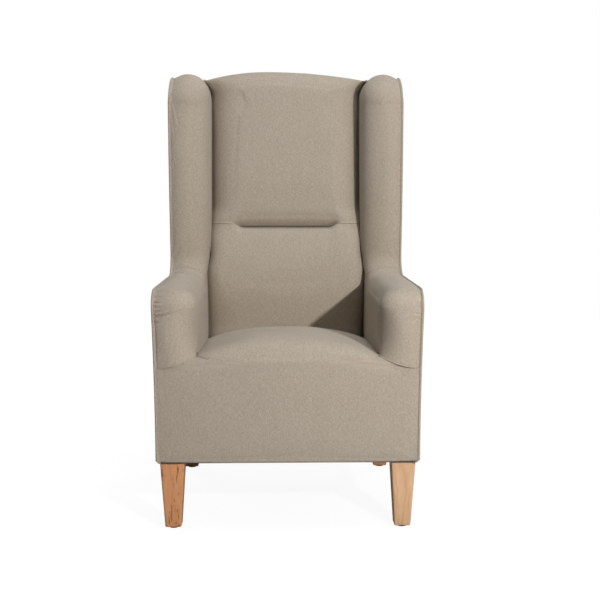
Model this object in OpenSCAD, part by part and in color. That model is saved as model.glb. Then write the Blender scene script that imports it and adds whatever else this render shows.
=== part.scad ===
// Fireside chair: a high upholstered wing armchair on four tapered wooden legs.
// Millimetres, +Z up, the front faces -Y, and the origin lies on the floor under the middle.
// Left and right are as seen from the front. Depths are measured back from the front plane,
// so a point of a side profile is [depth, height].

/* [Overall] */
// Depth from the front panel's crown to the top edge of the outside back
overall_depth = 735; // [715:1:780]
// Height of the back's crown above the floor
overall_height = 1207; // [1170:1:1250]
// Width of the base between its outside panels
base_width = 657; // [640:1:680]
// Height of the underside of the base above the floor
leg_height = 175; // [150:1:195]
// Lean of the outside back from upright, in degrees
recline = 6.5; // [5:0.5:8]

/* [Seat] */
// Height of the seat's crown above the floor
seat_height = 486; // [476:1:500]
// Depth from the crease behind the seat to the top edge of the outside back
back_depth = 265; // [255:1:275]
// Fall of the seat from its front crown to its rear edge
seat_fall = 26; // [15:1:35]
// Fall of the seat from its middle to the arms
seat_side_fall = 44; // [30:1:50]
// Radius of the seat's rolled front edge
seat_nose_r = 55; // [45:1:62]
// Crown of the front panel
front_crown = 5; // [3:0.5:7]

/* [Arms] */
// Height of the arm's outer edge at the front
arm_height = 610; // [600:1:640]
// Rise of the arm from its front to the wing
arm_rise = 5; // [2:1:20]
// Width of the arm from the outside panel to its inner face
arm_width = 98.5; // [92:0.5:104]
// Radius of the arm's front top corner, seen from the side
arm_corner_r = 50; // [42:1:56]
// Outward swell of the arm's front top corner
arm_flare = 6.5; // [4:0.5:10]
// Height of the outer end of the seam between arm front and front panel
arm_seam_z = 415; // [405:1:425]
// Rise of that seam from its outer end to the inner edge of the arm
arm_seam_rise = 27; // [15:1:32]

/* [Wings] */
// Distance of the wing's front edge at its foot ahead of the crease behind the seat
wing_lead = 27; // [20:1:32]
// Extra depth of that edge at head height
wing_lean = 24; // [12:1:30]
// Drop from the back's crown to the wing's top edge
wing_drop = 27; // [22:1:40]
// Width of the wing from the outside panel to its inner face
wing_width = 107.5; // [102:0.5:112]
// Radius of the concave turn from the arm into the wing
wing_fillet_r = 60; // [50:1:75]
// Radius of the wing's front top corner, seen from the side
wing_corner_r = 80; // [70:1:90]
// Crown of the wing's rolled top
wing_top_crown = 14; // [8:1:18]
// Outward swell of the wing at head height
wing_flare = 5; // [3:0.5:10]

/* [Back] */
// Lean of the inside back from upright, in degrees
inside_recline = 7.5; // [6:0.5:8]
// Height of the seam between the lumbar pad and the upper pad
lumbar_seam_z = 753; // [730:1:775]
// Forward swell of the lumbar pad
lumbar_swell = 26; // [15:1:32]
// Depth of the sewn channel between the two pads
channel_depth = 16; // [10:1:20]
// Rise of the back's top edge from the wings to the middle
back_top_rise = 27; // [18:1:36]
// Radius of the back's rolled top edge
back_top_r = 52; // [45:1:60]

/* [Padding and covers] */
// Thickness of the cloth covers with their backing
cover_t = 2; // [1.5:0.25:2.5]
// Thickness of the foam on the arms and wings
side_foam_t = 28; // [24:1:30]
// Thickness of the foam behind the front panel
front_foam_t = 10; // [8:1:14]
// Radius of the piping cord along the outer edges
piping_r = 3; // [2.5:0.25:3.5]
// Radius of the padded inner edge of arms and wings
inner_edge_r = 36; // [34:1:40]

/* [Wooden frame] */
// Thickness of the base rails
rail_t = 20; // [18:1:24]
// Height of the base rails
rail_h = 174; // [168:1:178]
// Depth of the upright posts, front to back
post_t = 38; // [34:1:42]
// Thickness of the thin boards that close the sides and the back
board_t = 3; // [2.5:0.5:4]
// Height of the arm rail
arm_rail_h = 30; // [24:1:36]
// Height of the cross rails of the back
cross_rail_h = 50; // [40:1:60]
// Height of the corner blocks
block_h = 38; // [32:1:44]
// Length of the corner blocks along the rails
block_l = 82; // [74:1:90]

/* [Legs] */
// Width of a leg at its top
leg_top_w = 62; // [56:1:66]
// Width of a leg at its foot
leg_foot_w = 41; // [36:1:46]
// Distance of the leg's outer face from the outside panel
leg_side_inset = 6; // [5:0.5:12]
// Distance of the front leg's face from the front plane
leg_front_inset = 16; // [12:1:20]
// Distance of the rear leg's top from the outside back
leg_rear_inset = 22; // [18:1:34]
// Backward rake of the rear legs at the floor
rear_leg_rake = 72; // [40:1:80]
// Diameter of the leg bolts
bolt_d = 8; // [6:1:10]
// Height of the floor glides
glide_h = 4; // [3:0.5:6]
// Diameter of the floor glides
glide_d = 24; // [20:1:28]

/* [Springs and webbing] */
// Number of seat springs
spring_count = 5; // [4:1:6]
// Wire diameter of the seat springs
wire_d = 4; // [3:0.5:4]
// Bend radius of the seat springs
spring_bend_r = 25; // [22:1:28]
// Width of the webbing straps
strap_w = 50; // [40:1:60]
// Thickness of the webbing straps
strap_t = 1.6; // [1.2:0.2:2]

/* [Hidden] */

// Gap between neighbouring pieces
clearance = 0.3;
// Overrun of cutting bodies
overrun = 2;

// Colours
cloth_colour = "#aca292";
foam_colour = "#efe4c4";
frame_colour = "#d6b98c";
board_colour = "#a88a5e";
leg_colour = "#dca56a";
steel_colour = "#b9bcc0";
felt_colour = "#8b8d8f";
strap_colour = "#3f3a33";
dust_colour = "#2c2c2e";
glide_colour = "#26221f";

// Planes of the chair
front_y = -overall_depth / 2;
side_half = base_width / 2;
front_edge = front_crown;
seat_depth = overall_depth - back_depth;
wing_depth = seat_depth - wing_lead;
wing_height = overall_height - wing_drop;
rear_edge_drop = 14;
rear_top_z = overall_height - rear_edge_drop;
rear_foot = overall_depth - (rear_top_z - leg_height) * tan(recline);
function rear_at(z) = rear_foot + (z - leg_height) * tan(recline);

// Layers behind each surface, from the outside in
cover_in = cover_t + clearance;
soft_in = cover_in + side_foam_t + clearance;
foam_play = 0.8;
wing_top_edge_r = 60;
top_in_share = 0.75;
top_in = soft_in + top_in_share * (wing_top_edge_r - inner_edge_r);
board_out_x = side_half - cover_in;
frame_x = board_out_x - board_t - clearance;
frame_rear_in = cover_in + board_t + clearance;
rail_face = front_edge + cover_in + front_foam_t + clearance;
arm_x = side_half - arm_width;
wing_x = side_half - wing_width;
arm_board_x = arm_x + soft_in;
wing_board_x = wing_x + soft_in;
arm_frame_x = arm_board_x + board_t;
wing_frame_x = wing_board_x + board_t;

// Base frame
dust_t = 1;
rail_z = leg_height + dust_t;
rail_top = rail_z + rail_h;
side_rail_x = frame_x - rail_t;
rail_back = rail_face + rail_t;
function upright_back(z) = rear_at(z) - frame_rear_in;
function upright_front(z) = upright_back(z) - post_t;
upright_top = wing_height - top_in;

// Seat springs lie on the rails, under the felt and the foam
clip_h = 5.5;
clip_l = 12;
clip_w = 20;
spring_z = rail_top + wire_d / 2;
spring_front = rail_face + rail_t / 2;
felt_t = 4;
felt_z = rail_top + clip_h + clearance;
seat_floor = felt_z + felt_t + clearance;

// Surface of the inside back, without its swells
pad_foot_z = seat_height - seat_fall;
function pad_at(z) = seat_depth + (z - pad_foot_z) * tan(inside_recline);
function strap_at(z) = upright_front(z) - strap_t;

// The band over arm and wing
arm_crown = 4;
wing_crown = 4;
wing_bulge = 6;
tuck = 22;
arm_tuck_z = arm_seam_z + arm_seam_rise - tuck;
seam_gap = 0.6;
arm_top_start = front_edge + arm_corner_r;
arm_top_end = wing_depth - wing_fillet_r;
arm_top_rear_z = arm_height + arm_rise;
wing_foot_z = arm_top_rear_z + wing_fillet_r;
wing_head_z = wing_height - wing_corner_r;
wing_head_depth = wing_depth + wing_lean;
wing_top_start = wing_head_depth + wing_corner_r;
wing_top_rear = rear_at(wing_height);
wing_inner_drop = top_in - foam_play;
arm_slope = atan(arm_rise / (arm_top_end - arm_top_start));
wing_seam_turn = 45;

function mix(a, b, share) = a + (b - a) * share;

// One row of the band: the outer edge's point, the turn of the direction into the padding,
// the outer edge's and the inner face's x, the inner face's end, the inner edge's radius
// and the crown. Turn 0 points to the rear, and turn 90 points down.
function band_row(p, turn, outer, inner, end, edge_r, crown) =
    [p, [cos(turn), -sin(turn)], outer, inner, end, edge_r, crown];
function row_point(row, inset) = row[0] + row[1] * inset;

// Outward swell of the outer edge at height z, up the front
function flare_at(z) = arm_flare
    * pow(rise_share(z, leg_height, arm_height - arm_corner_r), 2);

// Rows of the arm from height z0 up its front, round its corner, along its top and
// into the concave turn. The inner face ends on the line at height end_z.
function arm_rows(z0, end_z, front_n, corner_n, top_n, turn_n) =
    let (
        corner_z = arm_height - arm_corner_r,
        total = front_n + corner_n + top_n + turn_n,
        end_front = front_edge + inner_edge_r + tuck,
        end_rear = min(pad_at(end_z) + tuck, wing_depth + soft_in - clearance)
    )
    concat(
        [for (k = [0 : front_n - 1])
            let (share = k / front_n)
            band_row([front_edge, mix(z0, corner_z, share)], 0,
                side_half + flare_at(mix(z0, corner_z, share)), arm_x,
                [mix(end_front, end_rear, k / total), end_z], inner_edge_r, arm_crown)],
        [for (k = [0 : corner_n])
            let (turn = 90 * k / corner_n)
            band_row([arm_top_start - arm_corner_r * cos(turn),
                      corner_z + arm_corner_r * sin(turn)], turn,
                side_half + arm_flare, arm_x,
                [mix(end_front, end_rear, (front_n + k) / total), end_z],
                inner_edge_r, arm_crown)],
        [for (k = [1 : top_n])
            let (share = k / top_n)
            band_row([mix(arm_top_start, arm_top_end, share),
                      mix(arm_height, arm_top_rear_z, share)], 90 - arm_slope * (1 - share),
                side_half + arm_flare * (1 - share), arm_x,
                [mix(end_front, end_rear, (front_n + corner_n + k) / total), end_z],
                inner_edge_r, arm_crown)],
        [for (k = [1 : turn_n])
            let (turn = (90 - wing_seam_turn) * k / turn_n)
            band_row([arm_top_end + wing_fillet_r * sin(turn),
                      wing_foot_z - wing_fillet_r * cos(turn)], 90 - turn,
                side_half, arm_x,
                [mix(end_front, end_rear, (front_n + corner_n + top_n + k) / total), end_z],
                inner_edge_r, arm_crown)]
    );

// Rows of the wing from the concave turn up its front, round its top corner and
// back along its top.
function wing_rows(turn_n, front_n, corner_n, top_n) =
    let (
        first_turn = 90 - wing_seam_turn + atan(seam_gap / wing_fillet_r),
        head_end = [pad_at(wing_head_z) + tuck, wing_head_z],
        top_end = [head_end[0] + tuck, wing_height - wing_inner_drop]
    )
    concat(
        [for (k = [0 : turn_n])
            let (turn = mix(first_turn, 90, k / turn_n),
                 z = wing_foot_z - wing_fillet_r * cos(turn))
            band_row([arm_top_end + wing_fillet_r * sin(turn), z], 90 - turn,
                side_half, mix(arm_x, wing_x, k / turn_n),
                [pad_at(z) + tuck, z], inner_edge_r, wing_crown)],
        [for (k = [1 : front_n])
            let (share = k / front_n, z = mix(wing_foot_z, wing_head_z, share))
            band_row([mix(wing_depth, wing_head_depth, share) - wing_bulge * sin(180 * share), z],
                0, side_half + wing_flare * share, wing_x,
                [pad_at(z) + tuck, z], inner_edge_r, wing_crown)],
        [for (k = [1 : corner_n])
            let (turn = 90 * k / corner_n, share = k / corner_n)
            band_row([wing_top_start - wing_corner_r * cos(turn),
                      wing_head_z + wing_corner_r * sin(turn)], turn,
                side_half + wing_flare * (1 - share), wing_x,
                mix(head_end, top_end, share),
                mix(inner_edge_r, wing_top_edge_r, share),
                mix(wing_crown, wing_top_crown, share))],
        [for (k = [1 : top_n])
            let (share = k / top_n)
            band_row([mix(wing_top_start, wing_top_rear - cover_in, share), wing_height],
                90 + recline * share, side_half, wing_x,
                [mix(top_end[0], rear_at(top_end[1]) - cover_in, share), top_end[1]],
                wing_top_edge_r, wing_top_crown)]
    );

// Points of one row at an inset: over the crowned width, round the inner edge, and
// down the inner face. The lift raises a seam towards the inner edge.
function band_points(row, inset, edge_x, crowned, lift, flat_n, edge_n, face_n) =
    let (
        crown = crowned * row[6],
        round_x = row[3] + row[5],
        drop = row[5] - crown,
        face_start = row_point(row, drop)
    )
    concat(
        [for (k = [0 : flat_n])
            let (share = k / flat_n, x = mix(edge_x, round_x, share),
                 p = row_point(row, inset - crown * sin(90 * share)))
            [-x, front_y + p[0], p[1] + lift * (edge_x - x) / (edge_x - row[3])]],
        [for (k = [1 : edge_n])
            let (turn = 90 * k / edge_n, x = round_x - (row[5] - inset) * sin(turn),
                 p = row_point(row, drop - (row[5] - inset) * cos(turn)))
            [-x, front_y + p[0], p[1] + lift * (edge_x - x) / (edge_x - row[3])]],
        [for (k = [1 : face_n])
            let (share = k / face_n, p = mix(face_start + [0, lift], row[4], share))
            [-row[3] - inset, front_y + p[0], p[1]]]
    );

// Faces of a closed solid between two grids of points, turned to point outwards
function grid_faces(rows, cols) =
    let (n = rows * cols)
    concat(
        [for (i = [0 : rows - 2], j = [0 : cols - 2])
            let (a = i * cols + j, b = a + 1, c = a + cols + 1, d = a + cols)
            each [[a, b, c], [a, c, d], [n + a, n + c, n + b], [n + a, n + d, n + c]]],
        [for (i = [0 : rows - 2])
            let (a = i * cols, d = a + cols, b = a + cols - 1, c = b + cols)
            each [[a, d, n + d], [a, n + d, n + a], [b, n + b, n + c], [b, n + c, c]]],
        [for (j = [0 : cols - 2])
            let (a = j, b = j + 1, d = (rows - 1) * cols + j, c = d + 1)
            each [[a, n + a, n + b], [a, n + b, b], [d, c, n + c], [d, n + c, n + d]]]
    );
function flat_list(grid) = [for (row = grid, p = row) p];
function total(list) = list * [for (item = list) 1];
function signed_volume(points, faces) =
    total([for (f = faces) points[f[0]] * cross(points[f[1]], points[f[2]])]);
module grid_solid(outer, inner) {
    points = concat(flat_list(outer), flat_list(inner));
    faces = grid_faces(len(outer), len(outer[0]));
    turned = signed_volume(points, faces) > 0;
    polyhedron(points, turned ? [for (f = faces) [f[2], f[1], f[0]]] : faces);
}

// Closed tube through rings of points, each ring in the plane of its two directions
function tube_ring(centre, side, across, r, sides) =
    [for (k = [0 : sides - 1])
        let (turn = 360 * k / sides)
        centre + r * (side * cos(turn) + across * sin(turn))];
module tube_solid(rings) {
    n = len(rings);
    sides = len(rings[0]);
    points = flat_list(rings);
    walls = [for (i = [0 : n - 2], j = [0 : sides - 1])
        let (a = i * sides + j, b = i * sides + (j + 1) % sides)
        each [[a, b, b + sides], [a, b + sides, a + sides]]];
    last = (n - 1) * sides;
    caps = [for (j = [1 : sides - 2])
        each [[0, j + 1, j], [last, last + j, last + j + 1]]];
    faces = concat(walls, caps);
    turned = signed_volume(points, faces) > 0;
    polyhedron(points, turned ? [for (f = faces) [f[2], f[1], f[0]]] : faces);
}

// A side profile of [depth, height] points, made solid from x0 to x1
module across(x0, x1, profile) {
    translate([x0, front_y, 0]) rotate([90, 0, 90]) linear_extrude(x1 - x0) polygon(profile);
}
module mirrored() { mirror([1, 0, 0]) children(); }
function leaning(z0, z1, back_in, t) = [
    [rear_at(z0) - back_in - t, z0], [rear_at(z0) - back_in, z0],
    [rear_at(z1) - back_in, z1], [rear_at(z1) - back_in - t, z1],
];

// Wooden frame
module front_rail() {
    color(frame_colour) translate([-frame_x, front_y + rail_face, rail_z])
        cube([2 * frame_x, rail_t, rail_h]);
}
module rear_rail() {
    color(frame_colour) across(-wing_frame_x, wing_frame_x,
        leaning(rail_z, rail_top, frame_rear_in, rail_t));
}
module left_side_rail() {
    color(frame_colour) across(-frame_x, -side_rail_x, [
        [rail_back, rail_z], [upright_front(rail_z), rail_z],
        [upright_front(rail_top), rail_top], [rail_back, rail_top],
    ]);
}
module right_side_rail() { mirrored() left_side_rail(); }

// Corner blocks carry the legs, each with a bore for its bolt and a seat for its tee nut
leg_centre_x = side_half - leg_side_inset - leg_top_w / 2;
bolt_shift = 6;
bolt_x = leg_centre_x - bolt_shift;
front_leg_depth = leg_front_inset + leg_top_w / 2;
front_bolt_depth = front_leg_depth + bolt_shift;
rear_leg_depth = rear_foot - leg_rear_inset - leg_top_w / 2;
rear_bolt_depth = min(rear_leg_depth, upright_front(rail_z) - bolt_d - bolt_shift);
bolt_play = 0.3;
bolt_grip = 36;
nut_wall = 1.2;
nut_barrel_d = bolt_d + 2 * nut_wall;
nut_barrel_l = 10;
nut_flange_d = 2 * nut_barrel_d;
nut_flange_t = 1.6;
function bolt_places() = [
    [-bolt_x, front_y + front_bolt_depth], [bolt_x, front_y + front_bolt_depth],
    [-bolt_x, front_y + rear_bolt_depth], [bolt_x, front_y + rear_bolt_depth],
];
module block_bores(place) {
    translate([place[0], place[1], rail_z - overrun])
        cylinder(h = block_h + 2 * overrun, d = bolt_d + 2 * bolt_play, $fn = 48);
    translate([place[0], place[1], rail_z + block_h - nut_barrel_l])
        cylinder(h = nut_barrel_l + overrun, d = nut_barrel_d + 2 * bolt_play, $fn = 48);
}
module corner_block_front_left() {
    color(frame_colour) difference() {
        translate([0, front_y, rail_z]) linear_extrude(block_h) polygon([
            [-side_rail_x, rail_back], [block_l - side_rail_x, rail_back],
            [block_l - side_rail_x, rail_back + rail_t],
            [rail_t - side_rail_x, rail_back + block_l], [-side_rail_x, rail_back + block_l],
        ]);
        block_bores(bolt_places()[0]);
    }
}
module corner_block_front_right() { mirrored() corner_block_front_left(); }
module corner_block_rear_left() {
    block_rear = upright_front(rail_z);
    color(frame_colour) difference() {
        translate([0, front_y, rail_z]) linear_extrude(block_h) polygon([
            [-side_rail_x, block_rear - block_l], [rail_t - side_rail_x, block_rear - block_l],
            [block_l - side_rail_x, block_rear - rail_t], [block_l - side_rail_x, block_rear],
            [-side_rail_x, block_rear],
        ]);
        block_bores(bolt_places()[2]);
    }
}
module corner_block_rear_right() { mirrored() corner_block_rear_left(); }

// Arm frame: a post on the rails and a shaped rail that rises into the wing. The frame's
// outlines follow the rows of the foam that lies on them.
turn_n = 3;
arm_front_foam_n = 3;
wing_front_foam_n = 5;
arm_foam_rows = arm_rows(seat_floor, rail_top + clearance, arm_front_foam_n, 3, 3, turn_n);
wing_foam_rows = wing_rows(turn_n, wing_front_foam_n, 4, 2);
function wing_in(row) = soft_in + top_in_share * (row[5] - inner_edge_r);
function rows_between(rows, first, last) = [for (i = [first : last]) rows[i]];
arm_frame_front = front_edge + soft_in;
wing_frame_front = wing_depth + soft_in;
turn_line = [for (row = rows_between(wing_foam_rows, 0, turn_n)) row_point(row, soft_in)];
arm_rail_line = concat(
    [for (row = rows_between(arm_foam_rows, arm_front_foam_n, len(arm_foam_rows) - 1))
        row_point(row, soft_in)],
    turn_line);
arm_rail_z = arm_height - soft_in - arm_rail_h;
module left_arm_post() {
    color(frame_colour) across(-frame_x, -arm_frame_x, [
        [arm_frame_front, rail_top], [arm_frame_front + post_t, rail_top],
        [arm_frame_front + post_t, arm_rail_z], [arm_frame_front, arm_rail_z],
    ]);
}
module right_arm_post() { mirrored() left_arm_post(); }
module left_arm_rail() {
    color(frame_colour) across(-frame_x, -arm_frame_x, concat(
        [[arm_frame_front, arm_rail_z]], arm_rail_line, [[wing_frame_front, arm_rail_z]]));
}
module right_arm_rail() { mirrored() left_arm_rail(); }

// Back frame: leaning uprights with three cross rails
module left_back_upright() {
    color(frame_colour) across(-frame_x, -wing_frame_x,
        leaning(rail_z, upright_top, frame_rear_in, post_t));
}
module right_back_upright() { mirrored() left_back_upright(); }
module cross_rail(z) {
    color(frame_colour) across(-wing_frame_x, wing_frame_x,
        leaning(z, z + cross_rail_h, frame_rear_in, rail_t));
}
back_rail_top = upright_top;
module back_top_rail() { cross_rail(back_rail_top - cross_rail_h); }
module back_lumbar_rail() { cross_rail(lumbar_seam_z - cross_rail_h / 2); }
module back_lower_rail() { cross_rail(rail_top + cross_rail_h); }

// Wing frame: a post that follows the wing's front and a rail from its top to the upright
head_row = turn_n + wing_front_foam_n;
top_row = len(wing_foam_rows) - 3;
wing_front_line = [for (row = rows_between(wing_foam_rows, turn_n, head_row))
    row_point(row, wing_in(row))];
wing_top_line = [for (row = rows_between(wing_foam_rows, head_row, top_row))
    row_point(row, wing_in(row))];
module left_wing_post() {
    front = concat([[wing_frame_front, rail_top]], wing_front_line);
    back = [for (k = [len(front) - 1 : -1 : 0]) front[k] + [post_t, 0]];
    color(frame_colour) across(-frame_x, -wing_frame_x, concat(front, back));
}
module right_wing_post() { mirrored() left_wing_post(); }
module left_wing_top_rail() {
    color(frame_colour) across(-frame_x, -wing_frame_x, concat(wing_top_line, [
        [upright_front(upright_top), upright_top], [upright_front(wing_head_z), wing_head_z]]));
}
module right_wing_top_rail() { mirrored() left_wing_top_rail(); }

// Thin boards that back the padding and close the sides and the back
module left_arm_board() {
    color(board_colour) across(-arm_frame_x, -arm_board_x, concat(
        [[arm_frame_front, rail_top + board_t]], arm_rail_line,
        [[wing_frame_front, rail_top + board_t]]));
}
module right_arm_board() { mirrored() left_arm_board(); }
wing_board_rear_in = frame_rear_in + post_t + strap_t + clearance;
module left_wing_board() {
    color(board_colour) across(-wing_frame_x, -wing_board_x, concat(
        wing_front_line, rows_between(wing_top_line, 1, len(wing_top_line) - 1),
        [[rear_at(upright_top) - wing_board_rear_in, upright_top],
         [rear_at(wing_foot_z) - wing_board_rear_in, wing_foot_z]]));
}
module right_wing_board() { mirrored() left_wing_board(); }
module left_side_board() {
    color(board_colour) across(-board_out_x, -board_out_x + board_t, concat(
        [[arm_frame_front, rail_z]], arm_rail_line,
        rows_between(wing_front_line, 1, len(wing_front_line) - 1),
        rows_between(wing_top_line, 1, len(wing_top_line) - 1),
        [[upright_back(upright_top), upright_top], [upright_back(rail_z), rail_z]]));
}
module right_side_board() { mirrored() left_side_board(); }

// The board that closes the outside back under its cloth
module rear_board() {
    color(board_colour) across(-board_out_x, board_out_x,
        leaning(rail_z, upright_top, cover_in, board_t));
}

// Zigzag springs of one bent wire each, from the front rail to the rear rail
spring_rear = upright_back(rail_top) - rail_t / 2;
spring_turns = floor((spring_rear - spring_front) / (2 * spring_bend_r));
spring_pitch = (spring_rear - spring_front) / spring_turns / 2;
spring_half_w = 6;
spring_span = 2 * (arm_x - 2 * spring_bend_r);
spring_xs = [for (k = [0 : spring_count - 1]) mix(-0.5, 0.5, k / (spring_count - 1)) * spring_span];
wire_sides = 6;
wire_bend_n = 4;
function wire_ring(x, y, across) =
    tube_ring([x, y, 0], [0, 0, 1], across, wire_d / 2, wire_sides);
function wire_end(x, y, side) = [wire_ring(x, y, [0, side, 0])];
function wire_bend(k) =
    let (side = 1 - 2 * (k % 2))
    [for (i = [0 : wire_bend_n])
        let (turn = 180 * i / wire_bend_n - 90)
        wire_ring(side * (spring_half_w + spring_pitch * cos(turn)),
            spring_pitch * (2 * k + 1 + sin(turn)), [cos(turn), side * sin(turn), 0])];
module spring() {
    last_side = 1 - 2 * ((spring_turns - 1) % 2);
    tube_solid(concat(
        wire_end(-spring_half_w, 0, -1),
        [for (k = [0 : spring_turns - 1]) each wire_bend(k)],
        wire_end(-last_side * spring_half_w, 2 * spring_pitch * spring_turns, last_side)));
}
module seat_springs() {
    color(steel_colour) for (x = spring_xs)
        translate([x, front_y + spring_front, spring_z]) spring();
}
module spring_clips() {
    color(steel_colour) for (x = spring_xs, y = [spring_front, spring_rear])
        translate([x, front_y + y, rail_top]) difference() {
            translate([-clip_w / 2 + spring_half_w / 2, -clip_l / 2, 0])
                cube([clip_w - spring_half_w, clip_l, clip_h]);
            translate([0, 0, wire_d / 2]) rotate([0, 90, 0])
                cylinder(h = 2 * clip_w, d = wire_d + 2 * clearance, center = true, $fn = 32);
        }
}
module seat_felt() {
    color(felt_colour) translate([-arm_x + inner_edge_r, front_y + rail_back, felt_z])
        cube([2 * (arm_x - inner_edge_r), spring_rear - rail_back, felt_t]);
}

// Straps across the front of the uprights carry the back padding
strap_n = 6;
strap_low_z = rail_top + cross_rail_h;
strap_high_z = wing_head_z - seam_gap;
module back_webbing() {
    color(strap_colour) for (k = [0 : strap_n - 1]) {
        z = mix(strap_low_z, strap_high_z - strap_w, k / (strap_n - 1));
        across(-frame_x, frame_x, leaning(z, z + strap_w, frame_rear_in + post_t, strap_t));
    }
}

// Seat and front panel: one cloth from the base's lower edge over the rolled front to the
// crease. A grid row runs from side to side, with the share across from -1 to 1.
seat_columns = 14;
seat_fit = 2 * clearance;
seat_power = 3;
seat_tuck = 22;
column_shares = [for (k = [0 : seat_columns]) 2 * k / seat_columns - 1];
seat_side_z = seat_height - seat_side_fall;
panel_half = side_half - piping_r - clearance;
nose_z = seat_height - seat_nose_r;
function bent(share, power) = pow(abs(share), power);
function panel_row(z, half, inset) = [for (share = column_shares)
    [share * half, front_y + inset + front_crown * bent(share, seat_power), z]];
function seat_row(depth, mid_z, side_z, half) = [for (share = column_shares)
    [share * half,
     front_y + depth + front_crown * bent(share, seat_power) * (1 - depth / seat_depth),
     mix(mid_z, side_z, bent(share, seat_power))]];
function nose_rows(n, half, inset) = [for (k = [0 : n])
    let (turn = 90 * k / n, r = seat_nose_r - inset)
    seat_row(seat_nose_r - r * cos(turn), nose_z + r * sin(turn),
        arm_seam_z + arm_seam_rise - inset, half)];
function seat_top_rows(n, half, inset) = [for (k = [1 : n])
    let (share = k / n)
    seat_row(mix(seat_nose_r, seat_depth - seat_fit - inset, share),
        seat_height - inset - seat_fall * share * share,
        mix(arm_seam_z + arm_seam_rise, seat_side_z, share) - inset, half)];
function seat_end_row(half, inset) = [
    seat_row(seat_depth - seat_fit - inset, pad_foot_z - inset - seat_tuck,
        seat_side_z - inset - seat_tuck, half)];
function front_rows(n, inset) = [for (k = [0 : n])
    let (z = mix(leg_height, arm_seam_z - seam_gap, k / n))
    panel_row(z, panel_half + flare_at(z), inset)];
function seat_grid(inset) =
    let (half = arm_x - seat_fit)
    concat(front_rows(4, inset), nose_rows(5, half, inset), seat_top_rows(7, half, inset),
        seat_end_row(half, inset));
module seat_and_front_cover() {
    color(cloth_colour) grid_solid(seat_grid(0), seat_grid(cover_t));
}

// Foam blocks under the seat cloth and behind the front panel
seat_foam_half = arm_x - 2 * seat_fit;
module seat_foam() {
    low_z = seat_floor + front_foam_t;
    outer = concat(
        [panel_row(low_z, seat_foam_half, cover_in),
         panel_row(mix(low_z, nose_z, 0.5), seat_foam_half, cover_in)],
        nose_rows(5, seat_foam_half, cover_in), seat_top_rows(7, seat_foam_half, cover_in));
    n = len(outer) - 1;
    floor_front = front_edge + cover_in + front_foam_t;
    inner = [for (i = [0 : n])
        [for (share = column_shares)
            [share * seat_foam_half,
             front_y + mix(floor_front, seat_depth - seat_fit - cover_in, i / n), seat_floor]]];
    color(foam_colour) grid_solid(outer, inner);
}
module front_foam() {
    z_list = [rail_z, seat_floor - clearance];
    outer = [for (z = z_list) [for (share = column_shares)
        [share * frame_x,
         front_y + cover_in + front_crown * bent(share * frame_x / panel_half, seat_power), z]]];
    inner = [for (z = z_list) [for (share = column_shares)
        [share * frame_x, front_y + rail_face - clearance, z]]];
    color(foam_colour) grid_solid(outer, inner);
}

// Inside back: a lumbar pad and an upper pad that meet in a sewn channel
back_columns = 12;
back_shares = [for (k = [0 : back_columns]) 2 * k / back_columns - 1];
pad_side_draw = 14;
pad_side_power = 6;
pad_low_z = pad_foot_z - seat_tuck;
pad_spread = 18;
pad_spread_z = wing_height - wing_corner_r / 2;
hollow_l = 130;
roll_l = 26;
function back_top_at(x) = overall_height - back_top_rise * pow(min(abs(x) / wing_x, 1), 2);
back_corner_z = back_top_at(wing_x);
function rise_share(z, z0, z1) = max(0, min(1, (z - z0) / (z1 - z0)));
pad_turn_drop = 18;
pad_turn_z = wing_foot_z - pad_turn_drop;
function pad_half(z, spread) = mix(arm_x, wing_x, rise_share(z,
    pad_turn_z - wing_fillet_r * cos(wing_seam_turn), pad_turn_z)) - seat_fit
    + spread * pow(rise_share(z, pad_spread_z, back_corner_z), 2);
function roll_in(z) = channel_depth * pow(max(0, 1 - abs(z - lumbar_seam_z) / roll_l), 2);
function lumbar_depth(z) = pad_at(max(z, pad_foot_z))
    - lumbar_swell * sin(180 * rise_share(z, pad_foot_z, lumbar_seam_z))
    + channel_depth * pow(rise_share(z, lumbar_seam_z - hollow_l, lumbar_seam_z), 2) / 2
    + roll_in(z);
function upper_depth(z) = pad_at(z)
    + channel_depth * (1 - rise_share(z, lumbar_seam_z, lumbar_seam_z + hollow_l)) / 2
    + roll_in(z);
function side_draw(share) = pad_side_draw * bent(share, pad_side_power);
lumbar_z_shares = [0, 0.08, 0.22, 0.38, 0.54, 0.7, 0.84, 0.93, 0.98, 1];
function lumbar_grid(z_shares, inset) = [for (s = z_shares)
    let (z = mix(pad_low_z, lumbar_seam_z - seam_gap, s))
    [for (share = back_shares)
        [share * pad_half(z, 0), front_y + lumbar_depth(z) + side_draw(share) + inset, z]]];
function strap_grid(z_shares, z0, z1) = [for (s = z_shares)
    let (z = mix(z0, z1, s))
    [for (share = back_shares)
        [share * pad_half(z, 0), front_y + strap_at(z) - clearance, z]]];
module lumbar_cover() {
    color(cloth_colour)
        grid_solid(lumbar_grid(lumbar_z_shares, 0), lumbar_grid(lumbar_z_shares, cover_t));
}
module lumbar_foam() {
    color(foam_colour) grid_solid(
        lumbar_grid(lumbar_z_shares, cover_in),
        strap_grid(lumbar_z_shares, pad_low_z, lumbar_seam_z - seam_gap));
}
upper_z_shares = [0, 0.03, 0.08, 0.16, 0.32, 0.5, 0.68, 0.86, 1];
upper_face_top = back_corner_z - back_top_r;
lift_z = wing_height - 3 * wing_corner_r;
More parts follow.
